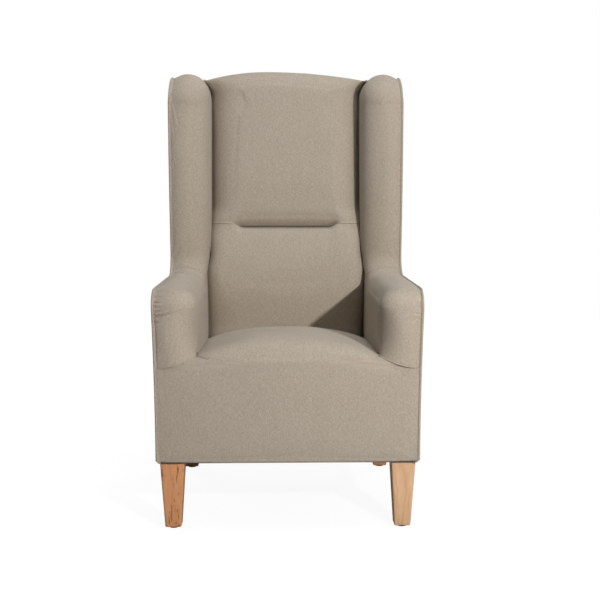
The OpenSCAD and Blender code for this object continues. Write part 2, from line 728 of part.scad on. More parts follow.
// A point of the upper pad: its height rises with the arched top
function upper_point(share, depth, z, half) =
    [share * half, front_y + depth,
     z + (back_top_at(share * wing_x) - back_corner_z) * rise_share(z, lift_z, upper_face_top)];
function upper_grid(z_shares, arc_n, top_n, inset, spread) =
    let (roll_depth = upper_depth(upper_face_top) + back_top_r, r = back_top_r - inset,
         end_depth = rear_at(back_corner_z - rear_edge_drop) - cover_in)
    concat(
        [for (s = z_shares)
            let (z = mix(lumbar_seam_z + seam_gap, upper_face_top, s))
            [for (share = back_shares)
                upper_point(share, upper_depth(z) + inset + side_draw(share), z, pad_half(z, spread))]],
        [for (k = [1 : arc_n])
            let (turn = 90 * k / arc_n, z = upper_face_top + r * sin(turn))
            [for (share = back_shares)
                upper_point(share, roll_depth - r * cos(turn) + side_draw(share) * cos(turn),
                    z, pad_half(z, spread))]],
        [for (k = [1 : top_n])
            let (s = k / top_n, z = back_corner_z - inset - rear_edge_drop * s * s)
            [for (share = back_shares)
                upper_point(share, mix(roll_depth, end_depth, s), z, pad_half(z, spread))]]
    );
module upper_back_cover() {
    color(cloth_colour) grid_solid(
        upper_grid(upper_z_shares, 5, 3, 0, pad_spread),
        upper_grid(upper_z_shares, 5, 3, cover_t, pad_spread));
}
module upper_back_foam() {
    outer = upper_grid(upper_z_shares, 5, 3, cover_in, 0);
    face_n = len(upper_z_shares);
    over_n = len(outer) - face_n;
    low = strap_grid(upper_z_shares, lumbar_seam_z + seam_gap, back_rail_top - rail_t);
    over_front = strap_at(back_rail_top);
    over_rear = rear_at(back_rail_top) - frame_rear_in;
    over = [for (k = [1 : over_n]) [for (share = back_shares)
        [share * (wing_x - seat_fit), front_y + mix(over_front, over_rear, k / over_n),
         back_rail_top + clearance]]];
    color(foam_colour) grid_solid(outer, concat(low, over));
}

// Arms and wings: foam and cloth follow the same band at different insets
function cloth_edge(row) = row[2] - piping_r - clearance;
module band_cloth(rows, rise) {
    outer = [for (i = [0 : len(rows) - 1])
        band_points(rows[i], 0, cloth_edge(rows[i]), 1, rise * lift_share(i), 4, 5, 3)];
    inner = [for (i = [0 : len(rows) - 1])
        band_points(rows[i], cover_t, cloth_edge(rows[i]), 1, rise * lift_share(i), 4, 5, 3)];
    color(cloth_colour) grid_solid(outer, inner);
}
arm_front_n = 5;
function lift_share(i) = max(0, 1 - i / arm_front_n);
// The foam's inner side is square, because it lies on the frame and its boards
function foam_back_points(row, face_x) =
    let (back_in = wing_in(row) - foam_play, corner = row_point(row, back_in + seam_gap))
    concat(
        [for (k = [0 : 2])
            let (x = mix(board_out_x, face_x + seam_gap, k / 2), p = row_point(row, back_in))
            [-x, front_y + p[0], p[1]]],
        [for (k = [1 : 3])
            let (x = mix(face_x + seam_gap, face_x, k / 3),
                 p = row_point(row, mix(back_in, back_in + seam_gap, k / 3)))
            [-x, front_y + p[0], p[1]]],
        [for (k = [1 : 2])
            let (p = mix(corner, row[4], k / 2))
            [-face_x, front_y + p[0], p[1]]]
    );
module band_foam(rows, crowned, face_x) {
    outer = [for (row = rows)
        band_points(row, cover_in + seam_gap, board_out_x, crowned, 0, 2, 3, 2)];
    inner = [for (row = rows) foam_back_points(row, face_x + soft_in - foam_play)];
    color(foam_colour) grid_solid(outer, inner);
}
arm_cloth_rows = arm_rows(arm_seam_z + seam_gap, arm_tuck_z, arm_front_n, 5, 5, 3);
wing_cloth_rows = wing_rows(3, 8, 6, 3);
module left_arm_cover() { band_cloth(arm_cloth_rows, arm_seam_rise); }
module right_arm_cover() { mirrored() left_arm_cover(); }
module left_wing_cover() { band_cloth(wing_cloth_rows, 0); }
module right_wing_cover() { mirrored() left_wing_cover(); }
module left_arm_foam() { band_foam(arm_foam_rows, 0, arm_x); }
module right_arm_foam() { mirrored() left_arm_foam(); }
module left_wing_foam() { band_foam(wing_foam_rows, 1, wing_x); }
module right_wing_foam() { mirrored() left_wing_foam(); }

// Outside panels: cloth that swells with the band's edge and lies flat behind it
swell_l = 90;
edge_l = piping_r + clearance;
near_shares = [0, 0.17, 0.4, 0.67, 1];
far_shares = [0.5, 1];
low_rows = arm_rows(leg_height, arm_tuck_z, 6, 5, 1, 4);
high_rows = wing_rows(3, 8, 6, 1);
side_rows = concat(low_rows,
    [for (row = high_rows) if (row[0][0] < wing_top_start + overrun) row]);
function top_swell(depth, z) = (z > arm_top_rear_z || depth < arm_top_start
    || depth > arm_top_end) ? 0
    : arm_flare * (1 - (depth - arm_top_start) / (arm_top_end - arm_top_start))
        * pow(max(0, 1 - (arm_height - z) / swell_l), 2);
function side_x(row, depth, z) =
    let (near = pow(max(0, 1 - (depth - row_point(row, edge_l)[0]) / swell_l), 2))
    side_half + max((row[2] - side_half) * near, top_swell(depth, z));
function side_row(row, inset) =
    let (start = row_point(row, edge_l), rear = rear_at(start[1]),
         depths = concat([for (share = near_shares) start[0] + swell_l * share],
             [for (share = far_shares) mix(start[0] + swell_l, rear, share)]))
    [for (depth = depths) [inset - side_x(row, depth, start[1]), front_y + depth, start[1]]];
module left_side_cover() {
    color(cloth_colour) grid_solid(
        [for (row = side_rows) side_row(row, 0)], [for (row = side_rows) side_row(row, cover_t)]);
}
module right_side_cover() { mirrored() left_side_cover(); }
wing_round_x = wing_x + wing_top_edge_r;
function wing_crest(x) = x > wing_round_x
    ? wing_height + wing_top_crown * sin(90 * (side_half - x) / (side_half - wing_round_x))
    : wing_height + wing_top_crown - wing_top_edge_r
        + sqrt(pow(wing_top_edge_r, 2) - pow(wing_round_x - x, 2));
rear_half = side_half - cover_in;
notch_turn = 40;
crest_shares = [0, 0.2, 0.4, 0.6, 0.8, 1];
function rear_outline() =
    let (notch_x = wing_round_x - wing_top_edge_r * sin(notch_turn),
         crest = [for (s = crest_shares) let (x = mix(rear_half, notch_x, s)) [x, wing_crest(x)]],
         top = [for (s = [for (k = [0 : back_arc_n]) 1 - 2 * k / back_arc_n])
             [s * (notch_x - clearance), back_top_at(s * wing_x) - rear_edge_drop]],
         line = concat([[rear_half, leg_height]], crest, top,
             [for (k = [len(crest) - 1 : -1 : 0]) [-crest[k][0], crest[k][1]]],
             [[-rear_half, leg_height]]))
    [for (p = line) [p[0], (p[1] - leg_height) / cos(recline)]];
back_arc_n = 16;
module rear_cover() {
    color(cloth_colour) translate([0, front_y + rear_foot, leg_height])
        rotate([90 - recline, 0, 0]) linear_extrude(cover_t * cos(recline))
            polygon(rear_outline());
}
module dust_cover() {
    half = side_half - cover_in;
    legs_at = [front_leg_depth, rear_leg_depth];
    hole = leg_top_w + 2 * clearance;
    color(dust_colour) difference() {
        translate([-half, front_y + front_edge + cover_in, leg_height])
            cube([2 * half, rear_foot - front_edge - 2 * cover_in, dust_t]);
        for (side = [-1, 1], depth = legs_at)
            translate([side * leg_centre_x - hole / 2, front_y + depth - hole / 2,
                leg_height - overrun])
                cube([hole, hole, dust_t + 2 * overrun]);
    }
}

// Piping along the outer edges, from the base up over arm and wing to the outside back
piping_rows = concat(arm_rows(leg_height, arm_tuck_z, 7, 6, 5, 3), wing_rows(3, 8, 7, 3));
piping_sides = 8;
module left_piping() {
    color(cloth_colour) tube_solid([for (row = piping_rows)
        tube_ring([-row[2], front_y + row[0][0], row[0][1]], [1, 0, 0],
            [0, row[1][0], row[1][1]], piping_r, piping_sides)]);
}
module right_piping() { mirrored() left_piping(); }

// Legs: square and tapered, the rear pair raked backwards
module leg_body(top_depth, rake) {
    color(leg_colour) difference() {
        intersection() {
            translate([-leg_centre_x, front_y + top_depth + leg_top_w + rake, 0])
                rotate([90, 0, 0]) linear_extrude(2 * (leg_top_w + rake)) polygon([
                    [-leg_foot_w / 2, glide_h], [leg_foot_w / 2, glide_h],
                    [leg_top_w / 2, rail_z], [-leg_top_w / 2, rail_z],
                ]);
            across(-leg_centre_x - leg_top_w, -leg_centre_x + leg_top_w, [
                [top_depth + rake - leg_foot_w / 2, glide_h],
                [top_depth + rake + leg_foot_w / 2, glide_h],
                [top_depth + leg_top_w / 2, rail_z], [top_depth - leg_top_w / 2, rail_z],
            ]);
        }
        for (place = bolt_places())
            translate([place[0], place[1], rail_z - bolt_grip])
                cylinder(h = bolt_grip + overrun, d = bolt_d + 2 * bolt_play, $fn = 48);
    }
}
module front_left_leg() { leg_body(front_leg_depth, 0); }
module front_right_leg() { mirrored() front_left_leg(); }
module rear_left_leg() { leg_body(rear_leg_depth, rear_leg_rake); }
module rear_right_leg() { mirrored() rear_left_leg(); }

// Hanger bolts hold the legs in tee nuts, and glides carry the chair
module leg_bolts() {
    color(steel_colour) for (place = bolt_places())
        translate([place[0], place[1], rail_z - bolt_grip])
            cylinder(h = bolt_grip + block_h, d = bolt_d, $fn = 48);
}
module leg_tee_nuts() {
    color(steel_colour) for (place = bolt_places())
        translate([place[0], place[1], rail_z + block_h]) difference() {
            union() {
                translate([0, 0, -nut_barrel_l])
                    cylinder(h = nut_barrel_l + nut_flange_t, d = nut_barrel_d, $fn = 48);
                cylinder(h = nut_flange_t, d = nut_flange_d, $fn = 48);
            }
            translate([0, 0, -nut_barrel_l - overrun])
                cylinder(h = nut_barrel_l + nut_flange_t + 2 * overrun,
                    d = bolt_d + bolt_play, $fn = 48);
        }
}
module floor_glides() {
    color(glide_colour)
        for (side = [-1, 1], depth = [front_leg_depth, rear_leg_depth + rear_leg_rake])
            translate([side * leg_centre_x, front_y + depth, 0])
                cylinder(h = glide_h, d = glide_d, $fn = 48);
}

front_rail();
rear_rail();
left_side_rail();
right_side_rail();
corner_block_front_left();
corner_block_front_right();
corner_block_rear_left();
corner_block_rear_right();
left_arm_post();
right_arm_post();
left_arm_rail();
right_arm_rail();
left_back_upright();
right_back_upright();
back_top_rail();
back_lumbar_rail();
back_lower_rail();
left_wing_post();
right_wing_post();
left_wing_top_rail();
right_wing_top_rail();
left_arm_board();
right_arm_board();
left_wing_board();
right_wing_board();
left_side_board();
right_side_board();
rear_board();
seat_springs();
spring_clips();
back_webbing();
seat_felt();
seat_foam();
front_foam();
lumbar_foam();
upper_back_foam();
left_arm_foam();
right_arm_foam();
left_wing_foam();
right_wing_foam();
seat_and_front_cover();
lumbar_cover();
upper_back_cover();
left_arm_cover();
right_arm_cover();
left_wing_cover();
right_wing_cover();
left_side_cover();
right_side_cover();
rear_cover();
dust_cover();
left_piping();
right_piping();
front_left_leg();
front_right_leg();
rear_left_leg();
rear_right_leg();
leg_bolts();
leg_tee_nuts();
floor_glides();
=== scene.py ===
"""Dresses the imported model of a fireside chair, a high upholstered wing armchair.

Metres throughout. The front faces -Y, the floor is at z = 0, and left is as seen from the front.
Depths are measured back from the front plane.
"""
import logging
import math
from dataclasses import dataclass
from enum import Enum
from typing import Callable, Sequence

import bmesh
import bpy
import numpy as np
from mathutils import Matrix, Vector


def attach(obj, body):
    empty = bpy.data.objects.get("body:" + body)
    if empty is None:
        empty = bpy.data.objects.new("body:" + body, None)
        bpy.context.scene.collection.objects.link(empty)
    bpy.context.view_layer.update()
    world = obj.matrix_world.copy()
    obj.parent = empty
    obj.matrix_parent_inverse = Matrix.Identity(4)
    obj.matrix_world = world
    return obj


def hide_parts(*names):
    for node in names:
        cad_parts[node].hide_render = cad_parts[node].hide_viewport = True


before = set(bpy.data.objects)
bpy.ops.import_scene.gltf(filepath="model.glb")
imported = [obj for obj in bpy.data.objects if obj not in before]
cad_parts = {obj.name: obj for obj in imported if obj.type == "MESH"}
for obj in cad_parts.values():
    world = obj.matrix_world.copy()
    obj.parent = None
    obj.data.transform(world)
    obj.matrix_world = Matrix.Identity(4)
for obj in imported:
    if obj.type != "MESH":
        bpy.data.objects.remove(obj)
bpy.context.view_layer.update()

LOG = logging.getLogger("fireside_chair")
QUARTER = math.pi / 2
CLOTH_MAP = "Cloth"
Colour = tuple[int, int, int]
Point = tuple[float, float, float]
Grid = np.ndarray


class Side(Enum):
    """A side of the chair as seen from the front, with the sign of its x."""

    LEFT = -1
    RIGHT = 1

    @property
    def word(self) -> str:
        """The side's name as the nodes spell it."""
        return self.name.lower()


class Slot(Enum):
    """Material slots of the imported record."""

    CLOTH = "cloth"
    PIPING = "piping"
    LEG_WOOD = "leg_wood"


# Numbers and sizes


def mix(a: float, b: float, share: float) -> float:
    """The value between a and b at a share of the way."""
    return a + (b - a) * share


def rise(value: float, low: float, high: float) -> float:
    """How far a value has come from low to high, from 0 to 1."""
    return min(1.0, max(0.0, (value - low) / (high - low)))


def ease(share: float) -> float:
    """A share that starts and ends slowly."""
    return share * share * (3 - 2 * share)


def arc(share: float) -> float:
    """How far a quarter circle has fallen at a share of its width, from 0 to 1."""
    return 1 - math.sqrt(1 - share * share)


def spread(count: int) -> list[float]:
    """Shares from 0 to 1 in equal steps."""
    return [k / count for k in range(count + 1)]


def grid_of(rows: Sequence, columns: int, point: Callable[..., Point]) -> Grid:
    """Points of a sheet by row and column, from each row and the shares across it."""
    return np.array([[point(row, across) for across in spread(columns)] for row in rows])


@dataclass(frozen=True)
class ChairSizes:
    """Sizes of the chair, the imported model's but for what the cloth draws in.

    The cloth pulls the seat's sides lower, and the arms' corners tighter, than the foam alone.
    """

    depth: float = 0.735
    height: float = 1.207
    base_width: float = 0.657
    leg_height: float = 0.175
    recline: float = math.radians(6.5)
    seat_height: float = 0.486
    back_depth: float = 0.265
    seat_fall: float = 0.026
    seat_side_fall: float = 0.060
    seat_nose_r: float = 0.055
    front_crown: float = 0.005
    arm_height: float = 0.610
    arm_rise: float = 0.005
    arm_width: float = 0.0985
    arm_corner_r: float = 0.046
    arm_flare: float = 0.0065
    arm_seam_z: float = 0.415
    arm_seam_rise: float = 0.027
    arm_seam_power: float = 1.7
    wing_lead: float = 0.027
    wing_lean: float = 0.024
    wing_drop: float = 0.027
    wing_width: float = 0.1075
    wing_fillet_r: float = 0.060
    wing_corner_r: float = 0.080
    wing_top_crown: float = 0.014
    wing_flare: float = 0.005
    wing_bulge: float = 0.006
    wing_top_edge_r: float = 0.060
    inside_recline: float = math.radians(7.5)
    lumbar_seam_z: float = 0.753
    lumbar_swell: float = 0.026
    channel_depth: float = 0.016
    back_top_rise: float = 0.027
    back_top_r: float = 0.052
    crown_x: float = -0.050
    piping_r: float = 0.003
    rear_edge_drop: float = 0.014
    tuck: float = 0.022
    gap: float = 0.0003
    seam_gap: float = 0.0006
    cover_t: float = 0.002
    hem_r: float = 0.007

    @property
    def front_y(self) -> float:
        """Y of the front plane."""
        return -self.depth / 2

    @property
    def side_half(self) -> float:
        """X of the outside panels."""
        return self.base_width / 2

    @property
    def seat_depth(self) -> float:
        """Depth of the crease behind the seat."""
        return self.depth - self.back_depth

    @property
    def wing_depth(self) -> float:
        """Depth of the wing's front edge at its foot."""
        return self.seat_depth - self.wing_lead

    @property
    def wing_height(self) -> float:
        """Height of the wing's top edge."""
        return self.height - self.wing_drop

    @property
    def arm_x(self) -> float:
        """X of the arm's inner face."""
        return self.side_half - self.arm_width

    @property
    def wing_x(self) -> float:
        """X of the wing's inner face."""
        return self.side_half - self.wing_width

    @property
    def pad_foot_z(self) -> float:
        """Height of the crease behind the seat."""
        return self.seat_height - self.seat_fall

    @property
    def seat_side_z(self) -> float:
        """Height of the seat's sides at the crease."""
        return self.seat_height - self.seat_side_fall

    @property
    def seam_inner_z(self) -> float:
        """Height of the arm seam at the arm's inner face."""
        return self.arm_seam_z + self.arm_seam_rise

    def flare_at(self, z: float) -> float:
        """Outward swell of the outer edge at a height, up the front."""
        return self.arm_flare * rise(z, self.leg_height, self.arm_height - self.arm_corner_r) ** 2

    def cloth_edge(self, x: float) -> float:
        """X at which the front cloth meets the piping of an outer edge at x."""
        return x - self.piping_r - self.gap

    def hem_roll(self, z: float) -> float:
        """How far the covers curl under the base at a height."""
        away = max(0.0, self.hem_r - (z - self.leg_height))
        return self.hem_r - math.sqrt(max(0.0, self.hem_r ** 2 - away ** 2))

    def rear_at(self, z: float) -> float:
        """Depth of the outside back at a height."""
        top_z = self.height - self.rear_edge_drop
        return self.depth - (top_z - z) * math.tan(self.recline)

    def rear_inner(self, z: float) -> float:
        """Depth at a height at which covers end just inside the outside back."""
        return self.rear_at(z) - self.cover_t - self.gap

    def pad_at(self, z: float) -> float:
        """Depth of the inside back at a height, without its swells."""
        return self.seat_depth + (z - self.pad_foot_z) * math.tan(self.inside_recline)

    def back_top_at(self, x: float) -> float:
        """Height of the back's arched top edge at x, with its crown a little to the left."""
        reach = self.wing_x + math.copysign(abs(self.crown_x), x - self.crown_x)
        return self.height - self.back_top_rise * min(abs(x - self.crown_x) / reach, 1) ** 2

    def seam_z(self, x: float) -> float:
        """Height at x of the curved seam between an arm's front and the front panel."""
        share = rise(self.side_half - abs(x), 0, self.arm_width)
        return self.arm_seam_z + self.arm_seam_rise * share ** self.arm_seam_power


SIZES = ChairSizes()


# Workshop: picking, editing and finishing pieces


def pick(piece: bpy.types.Object) -> None:
    """Selects one piece alone and makes it active.

    Args:
        piece: The piece.
    """
    bpy.ops.object.select_all(action="DESELECT")
    piece.select_set(True)
    bpy.context.view_layer.objects.active = piece


def add_primitive(adder: Callable, name: str, **settings: object) -> bpy.types.Object:
    """Adds a primitive mesh under a name.

    Args:
        adder: Blender's operator that adds it.
        name: Name of the new piece.
        settings: What the operator is told.

    Returns:
        The new piece, which is picked.
    """
    bpy.ops.object.select_all(action="DESELECT")
    adder(**settings)
    piece = bpy.context.object
    piece.name = piece.data.name = name
    return piece


def add_object(name: str, data: bpy.types.ID) -> bpy.types.Object:
    """Puts a lamp, camera or mesh into the scene.

    Args:
        name: Name of the new object.
        data: The lamp, camera or mesh.

    Returns:
        The new object.
    """
    item = bpy.data.objects.new(name, data)
    bpy.context.collection.objects.link(item)
    return item


def edit(piece: bpy.types.Object, work: Callable[[bmesh.types.BMesh], None]) -> None:
    """Opens a piece in edit mode and does some work on it.

    Args:
        piece: The piece to edit.
        work: Selects parts of the mesh and calls mesh operators.
    """
    pick(piece)
    bpy.ops.object.mode_set(mode="EDIT")
    bpy.ops.mesh.select_mode(type="VERT")
    work(bmesh.from_edit_mesh(piece.data))
    bpy.ops.object.mode_set(mode="OBJECT")


def turn_over(piece: bpy.types.Object) -> None:
    """Turns all faces of a piece the other way out."""
    edit(piece, lambda mesh: (bpy.ops.mesh.select_all(action="SELECT"),
                              bpy.ops.mesh.flip_normals()))


def apply_modifier(piece: bpy.types.Object, kind: str, **settings: object) -> None:
    """Adds one modifier to a piece and applies it.

    Args:
        piece: The piece to shape.
        kind: Blender's name of the modifier's type.
        settings: Values of the modifier's properties.
    """
    pick(piece)
    modifier = piece.modifiers.new(kind.title(), kind)
    for name, value in settings.items():
        setattr(modifier, name, value)
    bpy.ops.object.modifier_apply(modifier=modifier.name)


def read_rows(items: Sequence, name: str, width: int = 3) -> Grid:
    """Reads one vector of every vertex, normal or face corner of a mesh.

    Args:
        items: What is read.
        name: Blender's name of the vector.
        width: How many numbers the vector has.

    Returns:
        The vectors, one row each.
    """
    flat = np.empty(len(items) * width)
    items.foreach_get(name, flat)
    return flat.reshape(-1, width)


def places(piece: bpy.types.Object) -> Grid:
    """The piece's vertex positions, one row each."""
    return read_rows(piece.data.vertices, "co")


def normals(piece: bpy.types.Object) -> Grid:
    """The piece's vertex normals, one row each."""
    return read_rows(piece.data.vertex_normals, "vector")


def put(piece: bpy.types.Object, positions: Grid) -> None:
    """Moves the piece's vertices to new positions."""
    piece.data.vertices.foreach_set("co", positions.ravel())
    piece.data.update()


def smooth(piece: bpy.types.Object, degrees: float) -> None:
    """Shades a piece smooth, apart from edges sharper than an angle."""
    pick(piece)
    bpy.ops.object.shade_smooth_by_angle(angle=math.radians(degrees))


def dress(piece: bpy.types.Object, material: bpy.types.Material) -> None:
    """Gives all of a piece one material."""
    piece.data.materials.clear()
    piece.data.materials.append(material)


def declare(piece: bpy.types.Object, nodes: Sequence[str]) -> None:
    """Ties a finished piece to the frame.

    Args:
        piece: The finished piece.
        nodes: The nodes that the piece stands for.
    """
    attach(piece, "root")
    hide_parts(*nodes)
    LOG.info("%s: %d faces", piece.name, len(piece.data.polygons))


def declare_stretched(piece: bpy.types.Object, width: float, length: float, area: float,
                      under: list[str]) -> None:
    """Logs the cut size and area of a piece of cloth that is stretched over other pieces."""
    LOG.info("%s cut to %.3f by %.3f m, %.3f m2", piece.name, width, length, area)


def cloth_lengths(grid: Grid) -> tuple[Grid, Grid]:
    """Lengths along the cloth at each point of a grid, across and along its rows.

    Args:
        grid: Points by row and column.

    Returns:
        The length from the middle column and the length from the first row.
    """
    across = np.linalg.norm(np.diff(grid, axis=1), axis=2)
    along = np.linalg.norm(np.diff(grid, axis=0), axis=2)
    across = np.hstack([np.zeros((grid.shape[0], 1)), np.cumsum(across, axis=1)])
    across -= across[:, [grid.shape[1] // 2]]
    along = np.vstack([np.zeros((1, grid.shape[1])), np.cumsum(along, axis=0)])
    return across, along


def lay_cloth(name: str, grid: Grid, outward: Point) -> bpy.types.Object:
    """Lays a sheet of cloth on a form: a grid primitive whose points take their places on it.

    Args:
        name: Name of the new piece.
        grid: Points of the form by row and column.
        outward: Rough direction that the sheet's outer face looks in.

    Returns:
        The sheet, with the lengths along the cloth as its UV map.
    """
    rows, columns = grid.shape[:2]
    piece = add_primitive(bpy.ops.mesh.primitive_grid_add, name, x_subdivisions=columns - 1,
                          y_subdivisions=rows - 1, size=2, calc_uvs=True)
    flat = places(piece)
    column = np.rint((flat[:, 0] + 1) / 2 * (columns - 1)).astype(int)
    row = np.rint((flat[:, 1] + 1) / 2 * (rows - 1)).astype(int)
    put(piece, grid[row, column])
    across, along = cloth_lengths(grid)
    corner = np.empty(len(piece.data.loops), dtype=np.int64)
    piece.data.loops.foreach_get("vertex_index", corner)
    lengths = np.stack([across[row, column], along[row, column]], axis=1)[corner]
    piece.data.uv_layers[0].data.foreach_set("uv", lengths.ravel())
    piece.data.uv_layers[0].name = CLOTH_MAP
    if normals(piece).mean(axis=0) @ np.array(outward) < 0:
        turn_over(piece)
    return piece


def sewn_points(piece: bpy.types.Object) -> list[int]:
    """The points of a sheet's border, where it is sewn or tacked down.

    Args:
        piece: The open sheet.

    Returns:
        Numbers of the border's vertices.
    """
    mesh = bmesh.new()
    mesh.from_mesh(piece.data)
    border = [vertex.index for vertex in mesh.verts if vertex.is_boundary]
    mesh.free()
    return border


@dataclass(frozen=True)
class Stuffing:
    """Padding that swells a sewn cover: pressure in a cloth simulation, up to a limit."""

    swell: float = 0.004
    shrink: float = 0.0022
    pressure: float = 4.0
    frames: int = 20
    stiffness: float = 15.0

    def fill(self, piece: bpy.types.Object) -> None:
        """Draws the cloth in a little, then swells it from its sewn border.

        Args:
            piece: A sheet that lies on its form.
        """
        form = places(piece)
        facing = normals(piece)
        sewn = sewn_points(piece)
        free = np.ones(len(form))
        free[sewn] = 0
        drawn = form - facing * self.shrink * free[:, None]
        put(piece, drawn)
        self.simulate(piece, sewn)
        moved = np.einsum("ij,ij->i", places(piece) - drawn, facing)
        capped = self.swell * np.tanh(np.maximum(moved, 0) / self.swell)
        put(piece, drawn + facing * capped[:, None])

    def simulate(self, piece: bpy.types.Object, sewn: list[int]) -> None:
        """Runs and applies the cloth simulation.

        Args:
            piece: The sheet.
            sewn: Its vertices that are held.
        """
        piece.vertex_groups.new(name="Sewn").add(sewn, 1.0, "REPLACE")
        pick(piece)
        cloth = piece.modifiers.new("Padding", "CLOTH")
        settings = cloth.settings
        settings.quality = 4
        settings.use_pressure = True
        settings.uniform_pressure_force = self.pressure
        settings.effector_weights.gravity = 0.0
        settings.vertex_group_mass = "Sewn"
        settings.tension_stiffness = self.stiffness
        settings.compression_stiffness = self.stiffness
        cloth.collision_settings.use_collision = False
        cloth.point_cache.frame_start = 1
        cloth.point_cache.frame_end = self.frames
        for number in range(1, self.frames + 1):
            bpy.context.scene.frame_set(number)
        bpy.ops.object.modifier_apply(modifier=cloth.name)
        bpy.context.scene.frame_set(1)


# Finishes


def linear(colour: Colour) -> tuple[float, float, float, float]:
    """A colour of 0 to 255 per channel as Blender's linear colour."""
    shares = [part / 255 for part in colour]
    return (*(k / 12.92 if k <= 0.04045 else ((k + 0.055) / 1.055) ** 2.4 for k in shares), 1.0)


class Recipe:
    """The shader nodes of one material or world, wired by short calls."""

    def __init__(self, owner: bpy.types.ID, shader: str = "Principled BSDF") -> None:
        """Starts from the shader that Blender gives the material or world.

        Args:
            owner: The new material or world.
            shader: Name of its shader.
        """
        owner.use_nodes = True
        self.owner = owner
        self.tree = owner.node_tree
        self.shader = self.tree.nodes[shader]

    def feed(self, socket: bpy.types.NodeSocket, value: object) -> None:
        """Links a socket to an output, or sets it to a plain value.

        Args:
            socket: The socket to feed.
            value: The output or the value.
        """
        if isinstance(value, bpy.types.NodeSocket):
            self.tree.links.new(value, socket)
        else:
            socket.default_value = value

    def add(self, kind: str, inputs: dict[object, object], **values: object) -> bpy.types.Node:
        """Adds a node.

        Args:
            kind: Blender's name of the node's type.
            inputs: Outputs or values for its sockets, by name or number.
            values: Values of its properties.

        Returns:
            The node.
        """
        node = self.tree.nodes.new(kind)
        for name, value in values.items():
            setattr(node, name, value)
        for socket, value in inputs.items():
            self.feed(node.inputs[socket], value)
        return node

    def sums(self, operation: str, first: object, second: object = 0.0) -> bpy.types.NodeSocket:
        """The result of a Math node on two values or outputs."""
        return self.add("ShaderNodeMath", {0: first, 1: second}, operation=operation).outputs[0]

    def blend(self, share: object, first: object, second: object) -> bpy.types.NodeSocket:
        """A mix of two numbers by a share."""
        inputs = {"Factor": share, 2: first, 3: second}
        return self.add("ShaderNodeMix", inputs, data_type="FLOAT").outputs[0]

    def blend_colours(self, share: object, first: object, second: object) -> bpy.types.NodeSocket:
        """A mix of two colours by a share."""
        inputs = {"Factor": share, 6: first, 7: second}
        return self.add("ShaderNodeMix", inputs, data_type="RGBA").outputs[2]

    def vector(self, *parts: object) -> bpy.types.NodeSocket:
        """A vector of up to three values or outputs."""
        return self.add("ShaderNodeCombineXYZ", dict(enumerate(parts))).outputs[0]

    def noise(self, place: object, scale: float = 1.0, detail: float = 2.0,
              roughness: float = 0.5) -> bpy.types.NodeSocket:
        """Noise from 0 to 1 at a place."""
        inputs = {"Vector": place, "Scale": scale, "Detail": detail, "Roughness": roughness}
        return self.add("ShaderNodeTexNoise", inputs, noise_dimensions="3D").outputs[0]

    def ramp(self, value: object, stops: Sequence[tuple[float, Colour]]) -> bpy.types.NodeSocket:
        """A colour looked up between stops.

        Args:
            value: Number or output from 0 to 1.
            stops: Positions and colours in rising order.

        Returns:
            The colour output.
        """
        node = self.add("ShaderNodeValToRGB", {0: value})
        elements = node.color_ramp.elements
        while len(elements) < len(stops):
            elements.new(0.5)
        for element, (position, colour) in zip(elements, stops):
            element.position = position
            element.color = linear(colour)
        return node.outputs[0]

    def place(self, scale: Point = (1, 1, 1)) -> bpy.types.NodeSocket:
        """Object coordinates, stretched."""
        source = self.add("ShaderNodeTexCoord", {}).outputs["Object"]
        return self.add("ShaderNodeMapping", {"Vector": source, "Scale": scale}).outputs[0]

    def bump(self, height: object, distance: float, strength: float) -> None:
        """Raises the surface by a height pattern."""
        inputs = {"Strength": strength, "Distance": distance, "Height": height}
        self.set(Normal=self.add("ShaderNodeBump", inputs).outputs[0])

    def set(self, **values: object) -> None:
        """Sets sockets of the shader; an underscore in a name stands for a space."""
        for name, value in values.items():
            self.feed(self.shader.inputs[name.replace("_", " ")], value)


